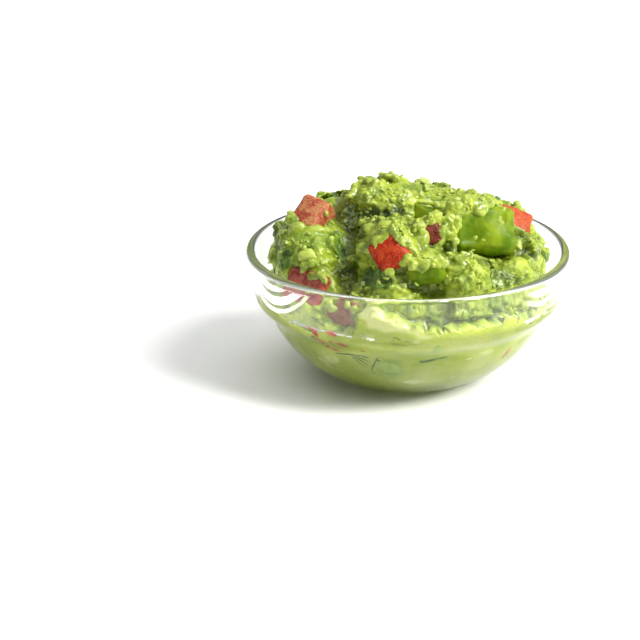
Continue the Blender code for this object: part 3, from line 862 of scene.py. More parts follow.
def fold_depth(points):
    """How deep each point is pushed in, in millimetres, and how near a fold's middle it is, 0 to 1."""
    depth, nearness = np.zeros(len(points)), np.zeros(len(points))
    where = points / MM
    for _, line, half, deep in FOLDS:
        far = np.full(len(points), 1e9)
        for start, end in zip(line[:-1], line[1:]):
            start, along = np.array(start, float), np.array(end, float) - np.array(start, float)
            t = np.clip((where - start) @ along / (along @ along), 0, 1)
            far = np.minimum(far, np.linalg.norm(where - start - t[:, None] * along, axis=1))
        close = np.exp(-(far / half) ** 2)
        depth = np.maximum(depth, deep * close)
        nearness = np.maximum(nearness, close)
    return depth, nearness


# %% Fuse core, masses, curds and lumps
bm = merged_copy("guacamole")
for name in DICE:
    # The dice's own room is filled too, one millimetre short of their faces, so no dark ring shows.
    part = merged_copy(name)
    bmesh.ops.recalc_face_normals(part, faces=part.faces)
    middle = sum((v.co for v in part.verts), Vector()) / len(part.verts)
    reach = max((v.co - middle).length for v in part.verts)
    for vertex in part.verts:
        vertex.co = middle + (vertex.co - middle) * (1 - 1.4 * MM / reach * 1.7) + SUNK.get(name, Vector()) * MM
    filler = bpy.data.meshes.new(name + " filler")
    part.to_mesh(filler)
    part.free()
    bm.from_mesh(filler)
core = bpy.data.meshes.new("mash core")
bm.from_mesh(joined_balls("masses", ROUGH_MASSES))
bm.from_mesh(collars())
bm.to_mesh(core)
bm.free()
mash = new_object("mash", core)
sizes = {"Pieces": bare_helper, "Material": mash_paint, "Fineness": 3, "Only lumps": False}
set_modifier(mash, CURDS, {**sizes, "Seed": 3, "Spacing": 6.4 * MM, "Smallest": 4.0 * MM, "Largest": 8.0 * MM,
                           "Clearance": 2.8 * MM, "Lowest": 31 * MM, "Patch size": 22 * MM, "Patch cover": 0.56,
                           "Flatness": 0.85})
set_modifier(mash, CURDS, {**sizes, "Seed": 8, "Spacing": 2.9 * MM, "Smallest": 1.8 * MM, "Largest": 4.2 * MM,
                           "Clearance": 0.7 * MM, "Lowest": 30 * MM, "Patch size": 11 * MM, "Patch cover": 0.54,
                           "Flatness": 0.9})
raw = baked(mash)
bm = bmesh.new()
bm.from_mesh(raw)
bm.from_mesh(smooth_helper.data)
bm.from_mesh(dabs())
bm.to_mesh(raw)
bm.free()
fuse = mash.modifiers.new("fuse", "REMESH")
fuse.mode, fuse.voxel_size = "VOXEL", 0.5 * MM
soften = mash.modifiers.new("soften", "SMOOTH")
soften.factor, soften.iterations = 0.5, 3
mesh = baked(mash)
points = points_of(mesh)
depth, _ = fold_depth(points)
move_points(mesh, points - normals_of(mesh) * (depth * MM)[:, None])
print("fused triangles", triangles(mesh))

# %% Raise the grain, then thin the mesh
fuse = mash.modifiers.new("fuse", "REMESH")
fuse.mode, fuse.voxel_size = "VOXEL", 0.5 * MM
set_modifier(mash, GRAIN, {"Curd size": 3.1 * MM, "Curd height": 0.85 * MM, "Grain size": 1.5 * MM,
                           "Grain height": 0.65 * MM, "Patch size": 9 * MM, "Lowest": 33 * MM, "Material": mash_paint,
                           "Smooth pieces": smooth_helper})
thin = mash.modifiers.new("thin", "DECIMATE")
thin.ratio = 0.43
mesh = baked(mash)
print("mash triangles", triangles(mesh))

# %% Press it into the glass
REACH = 0.25          # how far the mash reaches into the wall, in millimetres
points = points_of(mesh)
inside, out, angle, r, z = wall_shift(points)
wet_to = np.interp(angle, *zip(*WETTED))
near_wall = np.where((inside < 4) & (z < 50))[0]
ragged = np.array([noise.noise(Vector(points[i]) * 420.0) + 0.7 * noise.noise(Vector(points[i]) * 170.0)
                   for i in near_wall])
wet_to[near_wall] += 1.5 * ragged
wets = (z < wet_to) & (inside < 8)
needed = np.clip(0.5 * (z - wet_to) - REACH, -REACH, 0.9)
keeps_off = ~wets & (inside < needed) & (z < 50)
shift = np.where(wets, inside + REACH, np.where(keeps_off, inside - needed, 0.0))
radial = points[:, :2] / np.maximum(np.hypot(points[:, 0], points[:, 1]), 1e-6)[:, None]
points[:, :2] += radial * (out[:, 0] * shift * MM)[:, None]
points[:, 2] += out[:, 1] * shift * MM
move_points(mesh, points)
shade_smooth(mesh)


def write_attribute(mesh, name, values):
    layer = mesh.attributes.new(name, "FLOAT", "POINT")
    layer.data.foreach_set("value", np.clip(values, 0, 1).astype(np.float32))


def neighbour_mean(mesh, values, rounds):
    edges = np.empty(2 * len(mesh.edges), dtype=np.int64)
    mesh.edges.foreach_get("vertices", edges)
    a, b = edges.reshape(-1, 2).T
    count = np.bincount(np.concatenate([a, b]), minlength=len(values)).astype(float)
    count[count == 0] = 1
    values = values.copy()
    for _ in range(rounds):
        total = np.column_stack([np.bincount(a, values[b, k], len(values)) + np.bincount(b, values[a, k], len(values))
                                 for k in range(values.shape[1])])
        values = 0.4 * values + 0.6 * total / count[:, None]
    return values


soft_points = neighbour_mean(mesh, points, 24)
sunk = np.einsum("ij,ij->i", soft_points - points, normals_of(mesh)) / MM
_, in_fold = fold_depth(points)
# Painted shade in the hollows and along the folds, and painted light on the crests; neither on the mash pressed against
# the glass.
write_attribute(mesh, "fold", np.where(wets, 0, np.maximum(sunk / 0.9 - 0.1, 0) * 0.8 + 0.9 * in_fold))
write_attribute(mesh, "crest", np.where(wets, 0, -sunk / 1.2) * 0.6)
write_attribute(mesh, "pressed", wets.astype(float))

# %% Blotches of the pressed mash
# azimuth, height, half width, half height in millimetres, roll, strength
BLOTCHES = {
    "cream": [(-12, 41.5, 6, 3.2, -20, 1.0), (-5, 38, 6, 3, -18, 1.0), (3, 36, 6, 1.8, -15, 0.8), (34, 19.5, 7, 5, 20, 0.45),
              (-38, 18.5, 4, 2.6, 0, 0.5), (9, 15, 7, 7, -50, 0.35), (-60, 30, 8, 6, 30, 0.2), (20, 31, 16, 1.5, 0, 0.35),
              (160, 28, 12, 5, 10, 0.5), (-130, 22, 9, 5, -20, 0.4), (100, 24, 9, 4, 10, 0.4), (-165, 16, 8, 5, 0, 0.4)],
    "green": [(-7, 19.5, 5.5, 3.2, -14, 1.0), (-22, 17, 8, 4, -10, 0.35), (-48, 22, 8, 7, 40, 0.3), (2, 27, 8, 2.5, 0, 0.25),
              (46, 26, 6, 4, 30, 0.35), (-68, 20, 9, 8, 0, 0.35), (18, 10, 12, 3, 0, 0.3), (66, 18, 8, 6, 0, 0.3),
              (140, 20, 10, 5, 0, 0.5), (-110, 28, 9, 4, 10, 0.5), (178, 22, 7, 4, 0, 0.5)],
    # The dark blotches are painted shade, where mash lying further back from the glass is in shadow.
    "dark": [(15, 43.5, 9, 3.2, 0, 0.55), (27, 41, 3, 4, 0, 0.4), (-35, 35, 4, 1.2, -30, 0.5), (-26, 31, 7, 3, 0, 0.18)],
}
spots = np.where((z < 47) & (inside < 3))[0]
warp = np.array([noise.noise_vector(Vector(points[i]) * 190.0) for i in spots])
across = np.radians(angle[spots]) * 50.0
for name, rows in BLOTCHES.items():
    strength = np.zeros(len(points))
    for azimuth, height, half_width, half_height, roll, most in rows:
        away = (across - np.radians(azimuth) * 50.0 + 50 * math.pi) % (100 * math.pi) - 50 * math.pi
        a, b = away + 3.0 * warp[:, 0], z[spots] - height + 3.0 * warp[:, 2]
        c, d = math.cos(math.radians(roll)), math.sin(math.radians(roll))
        far = np.hypot((a * c + b * d) / half_width, (b * c - a * d) / half_height)
        strength[spots] = np.maximum(strength[spots], most * np.clip((1.15 - far) / 0.5, 0, 1))
    # Painted shade: darker towards the bowl's bottom.
    if name == "dark":
        strength = np.maximum(strength, 0.6 * np.clip((13 - z) / 11, 0, 1))
    # On the heap's upper left, away from the key light, the mash is painted darker green as painted shade, less on the
    # crests.
    if name == "green":
        shade = np.clip((-points[:, 0] / MM - 26) / 8, 0, 1) * np.clip((z - 44) / 4, 0, 1)
        strength = np.maximum(strength, 0.6 * shade * (1 - np.clip(-sunk / 0.6, 0, 1)))
    write_attribute(mesh, name, strength)
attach(mash, "root")
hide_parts("guacamole")
print("mash points", len(points), "pressed", int(wets.sum()))

# %% [markdown]
# ## Loose grains
# Crushed avocado breaks into beads about a millimetre across that catch the light one by one. They are
# too many and too small to fuse, so they are scattered on the finished surface as one piece of
# low balls, in patches, and each sinks half into the mash.

# %% Scatter the grains
grains = new_object("grains", mash.data.copy())
grains.data.materials.clear()
set_modifier(grains, CURDS, {**sizes, "Seed": 21, "Spacing": 1.35 * MM, "Smallest": 0.7 * MM, "Largest": 2.0 * MM,
                             "Clearance": 0.9 * MM, "Lowest": 35 * MM, "Patch size": 7 * MM, "Patch cover": 0.47,
                             "Flatness": 0.85, "Fineness": 2, "Only lumps": True})
mesh = baked(grains)
for name in ("fold", "crest", "pressed", "cream", "green", "dark"):
    if name in mesh.attributes:
        mesh.attributes.remove(mesh.attributes[name])
points = points_of(mesh)
inside, out, angle, r, z = wall_shift(points)
shift = np.where((inside < 0.4) & (z < 50), inside - 0.4, 0.0)
radial = points[:, :2] / np.maximum(np.hypot(points[:, 0], points[:, 1]), 1e-6)[:, None]
points[:, :2] += radial * (out[:, 0] * shift * MM)[:, None]
move_points(mesh, points)
# Every grain is painted a little paler all over: the same painted light as on the crests.
write_attribute(mesh, "crest", np.full(len(points), 0.35))
shade_smooth(mesh)
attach(grains, "root")
print("grains triangles", triangles(mesh))

# %% [markdown]
# ## Dice of tomato and avocado
# The model holds each die as a plain block. A real one is cut by a knife and softened by the mash, so
# its copy is remeshed finely, its edges are rounded by a few rounds of smoothing, and the pulp tree
# gives it the fine relief of wet flesh.


# %% One die
def fine_copy(name, voxel, rounds, stray, curd, curd_height, grain, grain_height, material):
    bm = merged_copy(name)
    mesh = bpy.data.meshes.new(name)
    bm.to_mesh(mesh)
    bm.free()
    mesh.transform(Matrix.Translation(SUNK.get(name, Vector()) * MM))
    thing = new_object("fine_" + name, mesh)
    fuse = thing.modifiers.new("fuse", "REMESH")
    fuse.mode, fuse.voxel_size = "VOXEL", voxel * MM
    mesh = baked(thing)
    points = points_of(mesh)
    drift = np.array([noise.noise_vector(Vector(p) * 130.0) for p in points])
    move_points(mesh, points + drift * stray * MM)
    soften = thing.modifiers.new("soften", "SMOOTH")
    soften.factor, soften.iterations = 0.5, rounds
    set_modifier(thing, GRAIN, {"Curd size": curd * MM, "Curd height": curd_height * MM, "Grain size": grain * MM,
                                "Grain height": grain_height * MM, "Patch size": 6 * MM, "Lowest": -1.0,
                                "Swell": 0.3 * MM, "Material": material})
    shade_smooth(baked(thing))
    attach(thing, "root")
    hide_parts(name)
    return thing


def tomato_material(name, deep, pale, grains, rough=(0.15, 0.45)):
    material, tree, shader, pulp = wet_material(name, 0.7, 3.0, rough, 0.8, 0.4, 0.2, (2.0, 0.5, 0.2))
    shader.inputs["Specular IOR Level"].default_value = 0.3
    flesh = mix_colour(tree, remap(tree, pulp.outputs["Mottle"], 0.35, 0.65), deep, pale)
    speck = maths(tree, "MULTIPLY", remap(tree, pulp.outputs["Grain"], 0.25, 0.5), grains)
    flesh = mix_colour(tree, speck, flesh, (0.85, 0.45, 0.30))
    tree.links.new(flesh, shader.inputs["Base Color"])
    return material


TOMATO_LOOKS = {
    "tomato_1": ((0.38, 0.05, 0.02), (0.54, 0.23, 0.09), 0.6),
    "tomato_2": ((0.34, 0.018, 0.002), (0.46, 0.045, 0.004), 0.12),
    "tomato_3": ((0.30, 0.04, 0.03), (0.45, 0.12, 0.07), 0.35),
    "tomato_4": ((0.40, 0.040, 0.001), (0.47, 0.075, 0.002), 0.05),
    "tomato_6": ((0.22, 0.075, 0.035), (0.32, 0.14, 0.06), 0.2),
    "tomato_5": ((0.10, 0.014, 0.006), (0.18, 0.035, 0.012), 0.15),
}
for name in sorted(n for n in DICE if n.startswith("tomato_")):
    deep_red, pale_red, grains = TOMATO_LOOKS.get(name, ((0.42, 0.03, 0.012), (0.6, 0.12, 0.06), 0.3))
    die = fine_copy(name, 0.35, 2, 0.8, 2.6, 0.3, 1.0, 0.22,
                    tomato_material(name + "_flesh", deep_red, pale_red, grains))
print("tomato dice ready")

# %% Avocado chunks
avocado_paint, tree, shader, pulp = wet_material("avocado_chunk", 1.4, 7.0, (0.30, 0.60), 0.15, 0.3, 0.2,
                                                 (0.8, 1.2, 0.2))
shader.inputs["Specular IOR Level"].default_value = 0.22
flesh = mix_colour(tree, remap(tree, pulp.outputs["Mottle"], 0.35, 0.7), (0.085, 0.165, 0.001), (0.21, 0.295, 0.003))
tree.links.new(flesh, shader.inputs["Base Color"])
pale_paint, tree, shader, pulp = wet_material("pale_avocado", 1.4, 7.0, (0.3, 0.5), 0.15, 0.3, 0.35,
                                              (1.6, 1.8, 0.5))
flesh = mix_colour(tree, remap(tree, pulp.outputs["Mottle"], 0.35, 0.7), (0.45, 0.55, 0.09), (0.62, 0.68, 0.17))
tree.links.new(flesh, shader.inputs["Base Color"])
# A darker copy of the chunk material, for the chunk that sits low in a hollow: painted shade.
shaded_avocado_paint, tree, shader, pulp = wet_material("deep_avocado", 1.4, 7.0, (0.45, 0.65), 0.15, 0.3, 0.15,
                                              (0.8, 1.2, 0.2))
shader.inputs["Specular IOR Level"].default_value = 0.15
flesh = mix_colour(tree, remap(tree, pulp.outputs["Mottle"], 0.35, 0.7), (0.085, 0.145, 0.001), (0.16, 0.22, 0.003))
tree.links.new(flesh, shader.inputs["Base Color"])
for name in sorted(n for n in DICE if n.startswith("avocado_")):
    paint = {"avocado_4": pale_paint, "avocado_3": shaded_avocado_paint}.get(name, avocado_paint)
    rounds, stray = {"avocado_1": (18, 1.5), "avocado_4": (3, 2.6)}.get(name, (6, 1.8))
    chunk = fine_copy(name, 0.45, rounds, stray, 5.0, 0.7, 2.0, 0.10, paint)
print("avocado chunks ready")

# %% [markdown]
# ## Chopped herb leaves
# A wet leaf lies on the mash and takes its form. Each leaf starts as a small grid with a lobed outline,
# puckered between its veins, and is then let down on the heap along its own direction. A grid gives
# clean veins; letting it down with rays keeps it on the surface, which a cloth would do more slowly.


# %% The heap as something to lay leaves on
def ground_tree():
    bm = bmesh.new()
    for thing in bpy.data.objects:
        if thing.name == "mash" or thing.name.startswith("fine_"):
            bm.from_mesh(thing.data)
    made = BVHTree.FromBMesh(bm)
    bm.free()
    return made


GROUND = ground_tree()


def towards(azimuth, elevation):
    """A direction: azimuth 0 is to the front and 90 to the right, elevation is upwards, in degrees."""
    a, e = math.radians(azimuth), math.radians(elevation)
    return Vector((math.sin(a) * math.cos(e), -math.cos(a) * math.cos(e), math.sin(e)))


def land(spot, way):
    """Where a straight line that comes in along -way through spot meets the heap."""
    start = Vector(spot) * MM + way * 30 * MM
    hit = GROUND.ray_cast(start, -way, 60 * MM)
    return hit[0]


LEAF_ROWS, LEAF_COLUMNS = 30, 19


def leaf(bm, layers, spot, azimuth, elevation, roll, length, width, seed, painted_sheen=0.0, lift=0.2, curl=0.0):
    way = towards(azimuth, elevation)
    turn = way.to_track_quat("Z", "Y") @ Quaternion((0, 0, 1), math.radians(roll))
    middle = land(spot, way) or Vector(spot) * MM
    flat, rise, vein = [], [], []
    drift = Vector((seed * 7.3, seed * 3.1, 0))
    for i in range(LEAF_ROWS):
        s = 2 * i / (LEAF_ROWS - 1) - 1
        half = (1 - abs(s) ** 2.6) ** 0.55 * (0.62 + 0.38 * abs(math.cos(2.6 * math.pi * (s * 0.5 + 0.1)))) + 0.03
        for j in range(LEAF_COLUMNS):
            t = 2 * j / (LEAF_COLUMNS - 1) - 1
            notch = 1 - 0.16 * abs(t) ** 3 * (0.5 + 0.5 * math.sin(19 * s + 2.0 * seed))
            x, y = t * half * notch * width / 2, s * length / 2 + 0.12 * length * abs(t) * half
            branch = abs(((s - 0.55 * abs(t)) * 3.2) % 1.0 - 0.5) * 2
            rib = max(math.exp(-(t / 0.10) ** 2), 0.8 * math.exp(-((1 - branch) / 0.22) ** 2))
            pucker = 0.55 * (1 - rib) * (1 - 0.5 * abs(t)) + 0.30 * noise.noise(Vector((x, y, 0)) * 0.8 + drift)
            pucker += 0.16 * noise.noise(Vector((x, y, 3)) * 2.1 + drift) + curl * t * t
            flat.append((x, y))
            rise.append(pucker)
            vein.append(rib)
    down = []
    for x, y in flat:
        start = middle + turn @ (Vector((x, y, 0)) * MM)
        hit = GROUND.ray_cast(start + way * 6 * MM, -way, 14 * MM)
        down.append((hit[0] - start).dot(way) / MM if hit[0] else -3.0)
    heights = np.array(down).reshape(LEAF_ROWS, LEAF_COLUMNS)
    soft = heights.copy()
    for _ in range(6):
        padded = np.pad(soft, 1, mode="edge")
        soft = (padded[:-2, 1:-1] + padded[2:, 1:-1] + padded[1:-1, :-2] + padded[1:-1, 2:] + soft) / 5
    heights = (np.maximum(heights, soft) * 0.7 + soft * 0.3).ravel()
    top, under = [], []
    for (x, y), up, bump in zip(flat, heights, rise):
        for thickness, row in ((0.0, top), (-0.28, under)):
            vertex = bm.verts.new(middle + turn @ (Vector((x, y, up + bump + lift + thickness)) * MM))
            row.append(vertex)
    for vertex, value in zip(top + under, vein * 2):
        vertex[layers[0]], vertex[layers[1]] = value, painted_sheen
    at = lambda i, j: i * LEAF_COLUMNS + j
    for i in range(LEAF_ROWS - 1):
        for j in range(LEAF_COLUMNS - 1):
            corners = (at(i, j), at(i, j + 1), at(i + 1, j + 1), at(i + 1, j))
            bm.faces.new([top[c] for c in corners])
            bm.faces.new([under[c] for c in reversed(corners)])
    edge = [at(0, j) for j in range(LEAF_COLUMNS)] + [at(i, LEAF_COLUMNS - 1) for i in range(1, LEAF_ROWS)]
    edge += [at(LEAF_ROWS - 1, j) for j in range(LEAF_COLUMNS - 2, -1, -1)] + [at(i, 0) for i in range(LEAF_ROWS - 2, 0, -1)]
    for a, b in zip(edge, edge[1:] + edge[:1]):
        bm.faces.new((top[b], top[a], under[a], under[b]))


# %% Where the leaves lie
LEAVES = [
    # spot, azimuth, elevation, roll, length, width, seed, share of pale flecks painted in as the wet leaf's sheen, lift
    # off the heap
    ((-23.0, -18, 70), -14, 40, 30, 9.0, 7.0, 1, 1.0, 0.9),
    ((-23, -33, 61), 8, 24, 8, 12.5, 6.0, 2),
    ((-17, -27, 63.5), -10, 40, 60, 4.0, 3.0, 3),
    ((-51, -6, 54), -50, 25, 20, 8.5, 5.0, 4),
    ((-43, -25.5, 52), -18, 14, 10, 7.0, 5.0, 5),
    ((-52, -15, 46), -45, 22, 50, 5.5, 4.5, 6),
    ((-11, -45.5, 52), -6, 26, 75, 12.5, 8.5, 7),
    ((34, -36, 49), 26, 26, 80, 10.0, 7.0, 8, 1.0),
    ((52, -9, 49), 50, 24, 10, 6.0, 4.0, 9),
    ((22, -12, 70), 10, 60, 20, 3.5, 2.6, 10),
    ((-8, 12, 72), 160, 50, 40, 9.0, 6.5, 11),
    ((14, 33, 62), 170, 34, 110, 10.0, 7.0, 12),
    ((-30, 34, 58), -150, 30, 15, 9.5, 6.0, 13),
    ((33, 17, 60), 130, 40, 70, 8.0, 6.0, 14),
    ((48, 6, 52), 95, 24, 30, 7.0, 5.0, 15),
    ((-48, 10, 50), -100, 30, 100, 8.0, 5.5, 16),
    ((-3, 46, 47), 178, 20, 35, 9.0, 6.0, 17),
    ((27, 31, 58), 150, 30, 10, 6.0, 4.5, 19),
]
bm = bmesh.new()
layers = [bm.verts.layers.float.new("vein"), bm.verts.layers.float.new("painted_sheen")]
layers = [bm.verts.layers.float["vein"], bm.verts.layers.float["painted_sheen"]]
for row in LEAVES:
    leaf(bm, layers, *row)
bmesh.ops.recalc_face_normals(bm, faces=bm.faces)
leaf_mesh = bpy.data.meshes.new("herb_leaves")
bm.to_mesh(leaf_mesh)
bm.free()

leaf_paint = bpy.data.materials.new("herb_leaf")
leaf_paint.use_nodes = True
tree = leaf_paint.node_tree
shader = tree.nodes["Principled BSDF"]
place = put(tree, "ShaderNodeTexCoord").outputs["Object"]
blotch = put(tree, "ShaderNodeTexNoise", {"Vector": place, "Scale": 260.0, "Detail": 3.0}).outputs[0]
green = mix_colour(tree, remap(tree, blotch, 0.35, 0.65), (0.032, 0.090, 0.002), (0.150, 0.250, 0.010))
# Painted sheen: on the glistening leaves, pale flecks are mixed into the colour as painted glints of the wet surface.
flecks = put(tree, "ShaderNodeTexNoise", {"Vector": place, "Scale": 850.0, "Detail": 2.0}).outputs[0]
painted_sheen = maths(tree, "MULTIPLY", attribute(tree, "painted_sheen"), remap(tree, flecks, 0.42, 0.56))
green = mix_colour(tree, painted_sheen, green, (0.42, 0.48, 0.20))
green = mix_colour(tree, maths(tree, "MULTIPLY", attribute(tree, "vein"), 0.5), green, (0.24, 0.34, 0.08))
tree.links.new(green, shader.inputs["Base Color"])
crinkle = put(tree, "ShaderNodeTexNoise", {"Vector": place, "Scale": 1300.0, "Detail": 2.0}).outputs[0]
relief = put(tree, "ShaderNodeBump", {"Height": crinkle, "Strength": 0.5, "Distance": 0.25 * MM})
tree.links.new(relief.outputs[0], shader.inputs["Normal"])
tree.links.new(remap(tree, blotch, 0.3, 0.7, 0.16, 0.42), shader.inputs["Roughness"])
shader.inputs["Coat Weight"].default_value = 0.12
shader.inputs["Coat Roughness"].default_value = 0.1
shader.inputs["Specular IOR Level"].default_value = 0.35
shader.inputs["Subsurface Weight"].default_value = 0.08
shader.inputs["Subsurface Radius"].default_value = (0.3, 0.8, 0.1)
shader.inputs["Subsurface Scale"].default_value = 0.001
herbs = new_object("herb_leaves", leaf_mesh, leaf_paint)
shade_smooth(leaf_mesh)
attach(herbs, "root")
print("leaves", len(LEAVES), "triangles", triangles(leaf_mesh))

# %% [markdown]
# ## Bits of onion
# Finely chopped onion goes glassy in the lime juice. The bits are small curved slabs, so each one is a
# ball pressed flat and square by a power of its coordinates, and half its light goes through it.

# %% Onion
ONION = [
    ((5.5, 4, 71), 10, 45), ((23, -4, 69.5), 10, 50), ((-16, -41, 48), -20, 30),
    ((-19, -39, 46), -20, 20), ((-2, -46, 50), -4, 35), ((41, -20, 57), 30, 35), ((-15, 5, 74), -20, 60),
    ((-20, 24, 66), -150, 40), ((10, 40, 56), 170, 30), ((34, 26, 57), 130, 40), ((-48, 8, 53), -95, 30),
    ((18, 14, 68), 120, 60), ((-8, 30, 63), 175, 45), ((45, 16, 54), 110, 30), ((-38, 26, 57), -130, 35),
]
chance = random.Random(5)
bm = bmesh.new()
for spot, azimuth, elevation in ONION:
    way = towards(azimuth, elevation)
    middle = land(spot, way) or Vector(spot) * MM
    turn = way.to_track_quat("Z", "Y") @ Euler([chance.uniform(-0.5, 0.5) for _ in "xy"] + [chance.uniform(0, 3)]).to_quaternion()
    half = Vector((chance.uniform(1.3, 2.0), chance.uniform(0.9, 1.5), chance.uniform(0.45, 0.7)))
    for vertex in bmesh.ops.create_icosphere(bm, subdivisions=4, radius=1.0)["verts"]:
        full = Vector([math.copysign(abs(c) ** 0.55, c) for c in vertex.co])
        spot_local = Vector([a * b for a, b in zip(full, half)])
        spot_local.z += 0.12 * half.x * (full.x ** 2) + 0.15 * noise.noise(full * 1.5 + Vector(spot))
        vertex.co = middle + turn @ (spot_local * MM) - way * 0.1 * MM
onion_mesh = bpy.data.meshes.new("onion_bits")
bm.to_mesh(onion_mesh)
bm.free()
onion_paint, tree, shader, pulp = wet_material("onion", 0.9, 3.0, (0.08, 0.22), 0.2, 0.15, 0.6, (1.8, 1.9, 1.2), coat=0.2)
pearl = mix_colour(tree, remap(tree, pulp.outputs["Mottle"], 0.35, 0.65), (0.46, 0.54, 0.12), (0.56, 0.63, 0.24))
tree.links.new(pearl, shader.inputs["Base Color"])
onions = new_object("onion_bits", onion_mesh, onion_paint)
shade_smooth(onion_mesh)
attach(onions, "root")
print("onion bits", len(ONION), "triangles", triangles(onion_mesh))

# %% [markdown]
# ## What the glass shows
# Bits that were stirred down lie flat against the wall and show through it. Each is a thin uneven disc
# laid on the wall's own curve: its middle reaches a little deeper into the glass than the mash does,
# and its edge sinks behind it, so that the outline comes out irregular.


# %% A disc on the wall
WALL_Z, WALL_R = INNER[5:, 1], INNER[5:, 0]


def wall_point(azimuth, height, depth):
    """A point on the inner wall, depth millimetres into the glass."""
    r = np.interp(height, WALL_Z, WALL_R)
    slope = (np.interp(height + 0.5, WALL_Z, WALL_R) - np.interp(height - 0.5, WALL_Z, WALL_R))
    length = math.hypot(slope, 1.0)
    r, z = r + depth / length, height - depth * slope / length
    a = math.radians(azimuth)
    return Vector((math.sin(a) * r, -math.cos(a) * r, z)) * MM


def wall_disc(bm, azimuth, height, width, tall, roll, seed, middle_depth=0.42, ragged=0.3):
    rings, around = 6, 36
    turned = math.radians(roll)
    slope = (np.interp(height + 1, WALL_Z, WALL_R) - np.interp(height - 1, WALL_Z, WALL_R)) / 2
    radius = np.interp(height, WALL_Z, WALL_R)

    def at(u, v, depth):
        x, y = u * math.cos(turned) - v * math.sin(turned), u * math.sin(turned) + v * math.cos(turned)
        return wall_point(azimuth + math.degrees(x / radius), height + y / math.hypot(1, slope), depth)

    front = [[bm.verts.new(at(0, 0, middle_depth))]]
    for k in range(1, rings + 1):
        share = k / rings
        row = []
        for j in range(around):
            a = 2 * math.pi * j / around
            wild = 1.3 + ragged * (noise.noise(Vector((math.cos(a) * 1.7, math.sin(a) * 1.7, seed * 4.1)))
                                 + 0.5 * noise.noise(Vector((math.cos(a) * 4, math.sin(a) * 4, seed * 2.7))))
            row.append(bm.verts.new(at(share * wild * width / 2 * math.cos(a), share * wild * tall / 2 * math.sin(a),
                                       middle_depth - 0.45 * share ** 3)))
        front.append(row)
    back = bm.verts.new(at(0, 0, -0.8))
    for j in range(around):
        n = (j + 1) % around
        bm.faces.new((front[0][0], front[1][j], front[1][n]))
        for k in range(1, rings):
            bm.faces.new((front[k][j], front[k + 1][j], front[k + 1][n], front[k][n]))
        bm.faces.new((front[rings][n], front[rings][j], back))


def wall_piece(name, rows, material):
    bm = bmesh.new()
    for k, row in enumerate(rows):
        wall_disc(bm, *row, seed=k + len(name))
    bmesh.ops.recalc_face_normals(bm, faces=bm.faces)
    mesh = bpy.data.meshes.new(name)
    bm.to_mesh(mesh)
    bm.free()
    thing = new_object(name, mesh, material)
    shade_smooth(mesh)
    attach(thing, "root")
    print(name, len(rows), "triangles", triangles(mesh))
    return thing


# %% Tomato, herb and pale bits against the wall
# azimuth from the front, height, width, height of the disc, roll
TOMATO_STREAKS = [(-36.5, 31.4, 2.4, 3.0, 20), (-36, 28.6, 2.2, 4.4, 12), (-34.6, 25.8, 2.0, 2.6, -20), (-38.5, 32.3, 2.4, 0.9, -40),
                  (-29, 32.2, 3.6, 1.8, -8), (-25.6, 29.2, 4.6, 2.5, -22), (-30.5, 29.8, 2.4, 1.4, 20), (-31.5, 24.5, 4.0, 1.3, -16),
                  (-28, 27.0, 1.2, 0.8, 0), (-18, 27.0, 1.9, 1.4, 0), (50.5, 19.8, 2.0, 4.6, -25), (128, 24, 6, 2.6, 20),
                  (150, 19, 4, 3, -30), (-122, 27, 7, 2.4, 15), (-150, 21, 3.5, 2.2, 50), (84, 27, 5, 2, -10), (178, 28, 6, 3, 5)]
HERB_STREAKS = [(-28.5, 23.0, 6.5, 0.6, 6), (-22, 23.5, 7.0, 0.5, -2), (-17.5, 23.2, 2.6, 0.9, -12), (-14.4, 20.2, 7.6, 0.7, 66),
                (-15.4, 16.6, 2.6, 0.5, 125), (-12.4, 22.2, 1.8, 0.5, 10), (-20, 21.4, 7.0, 0.3, -38), (-21.5, 20.8, 6.4, 0.3, -50),
                (-19, 22.2, 5.6, 0.3, -22), (8.2, 22.4, 4.0, 1.5, 4), (11.5, 23.0, 5.0, 1.0, 14), (15.5, 23.6, 4.0, 0.8, 10),
                (-36, 16.4, 3.2, 0.8, -12), (27, 26.5, 6, 0.25, 12), (135, 20, 8, 1.4, 12), (-135, 24, 9, 1.2, -20),
                (168, 22, 7, 0.5, 30), (95, 21, 8, 1.2, 10), (-85, 25, 6, 1.0, -15), (60, 23, 5, 0.6, 30)]
GREEN_PATCHES = [(-7.5, 19.3, 9.5, 5.2, -18), (12, 29.0, 3, 6, 0), (140, 28, 9, 5, 10), (-105, 20, 8, 6, 0), (175, 15, 8, 5, 0)]
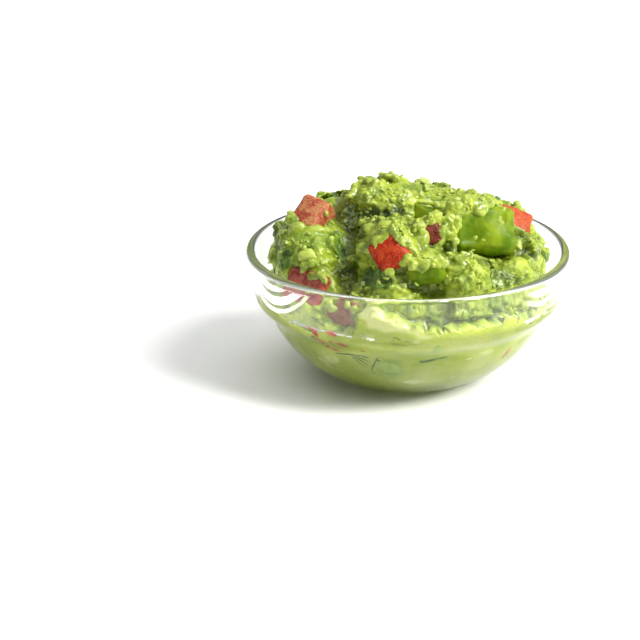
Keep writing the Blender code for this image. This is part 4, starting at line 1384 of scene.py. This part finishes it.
PALE_PATCHES = [(-35, 19.6, 6.5, 3.6, 10), (-41, 17.5, 4.5, 2.8, -20), (28, 21.6, 2.6, 0.7, 5), (24, 14.0, 3.0, 0.7, 25), (29, 16.0, 1.2, 0.7, 0),
                (36, 22.5, 6, 4, 20), (4, 12.5, 8, 4, 0), (160, 24, 7, 4, 0), (-160, 17, 6, 4, 30), (110, 17, 6, 4, 0), (-66, 24, 7, 5, 30)]
streak_red, tree, shader, pulp = wet_material("pressed_tomato", 0.7, 2.0, (0.3, 0.5), 0.1, 0.1, 0.2, (2.0, 0.6, 0.3))
flesh = mix_colour(tree, remap(tree, pulp.outputs["Mottle"], 0.4, 0.6), (0.34, 0.035, 0.01), (0.55, 0.16, 0.04))
tree.links.new(flesh, shader.inputs["Base Color"])
wall_piece("tomato_streaks", TOMATO_STREAKS, streak_red)
wall_piece("herb_streaks", HERB_STREAKS, leaf_paint)
patch_green, tree, shader, pulp = wet_material("pressed_avocado", 1.2, 4.0, (0.3, 0.5), 0.05, 0.1, 0.3, (1.0, 1.5, 0.3))
flesh = mix_colour(tree, remap(tree, pulp.outputs["Mottle"], 0.35, 0.65), (0.26, 0.40, 0.03), (0.36, 0.48, 0.06))
tree.links.new(flesh, shader.inputs["Base Color"])
wall_piece("avocado_patches", GREEN_PATCHES, patch_green)
patch_pale, tree, shader, pulp = wet_material("pressed_onion", 1.2, 4.0, (0.3, 0.5), 0.05, 0.1, 0.3, (1.4, 1.5, 0.6))
flesh = mix_colour(tree, remap(tree, pulp.outputs["Mottle"], 0.35, 0.65), (0.48, 0.56, 0.14), (0.62, 0.68, 0.26))
tree.links.new(flesh, shader.inputs["Base Color"])
wall_piece("onion_patches", PALE_PATCHES, patch_pale)

# %% [markdown]
# ## Sizes and the end
# The helper objects go, and this scene's own box is printed.

# %% Finish
for helper in (bare_helper, smooth_helper):
    bpy.data.objects.remove(helper)
low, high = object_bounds()
print("visual box", [round(1000 * v, 1) for v in (*low, *high)])
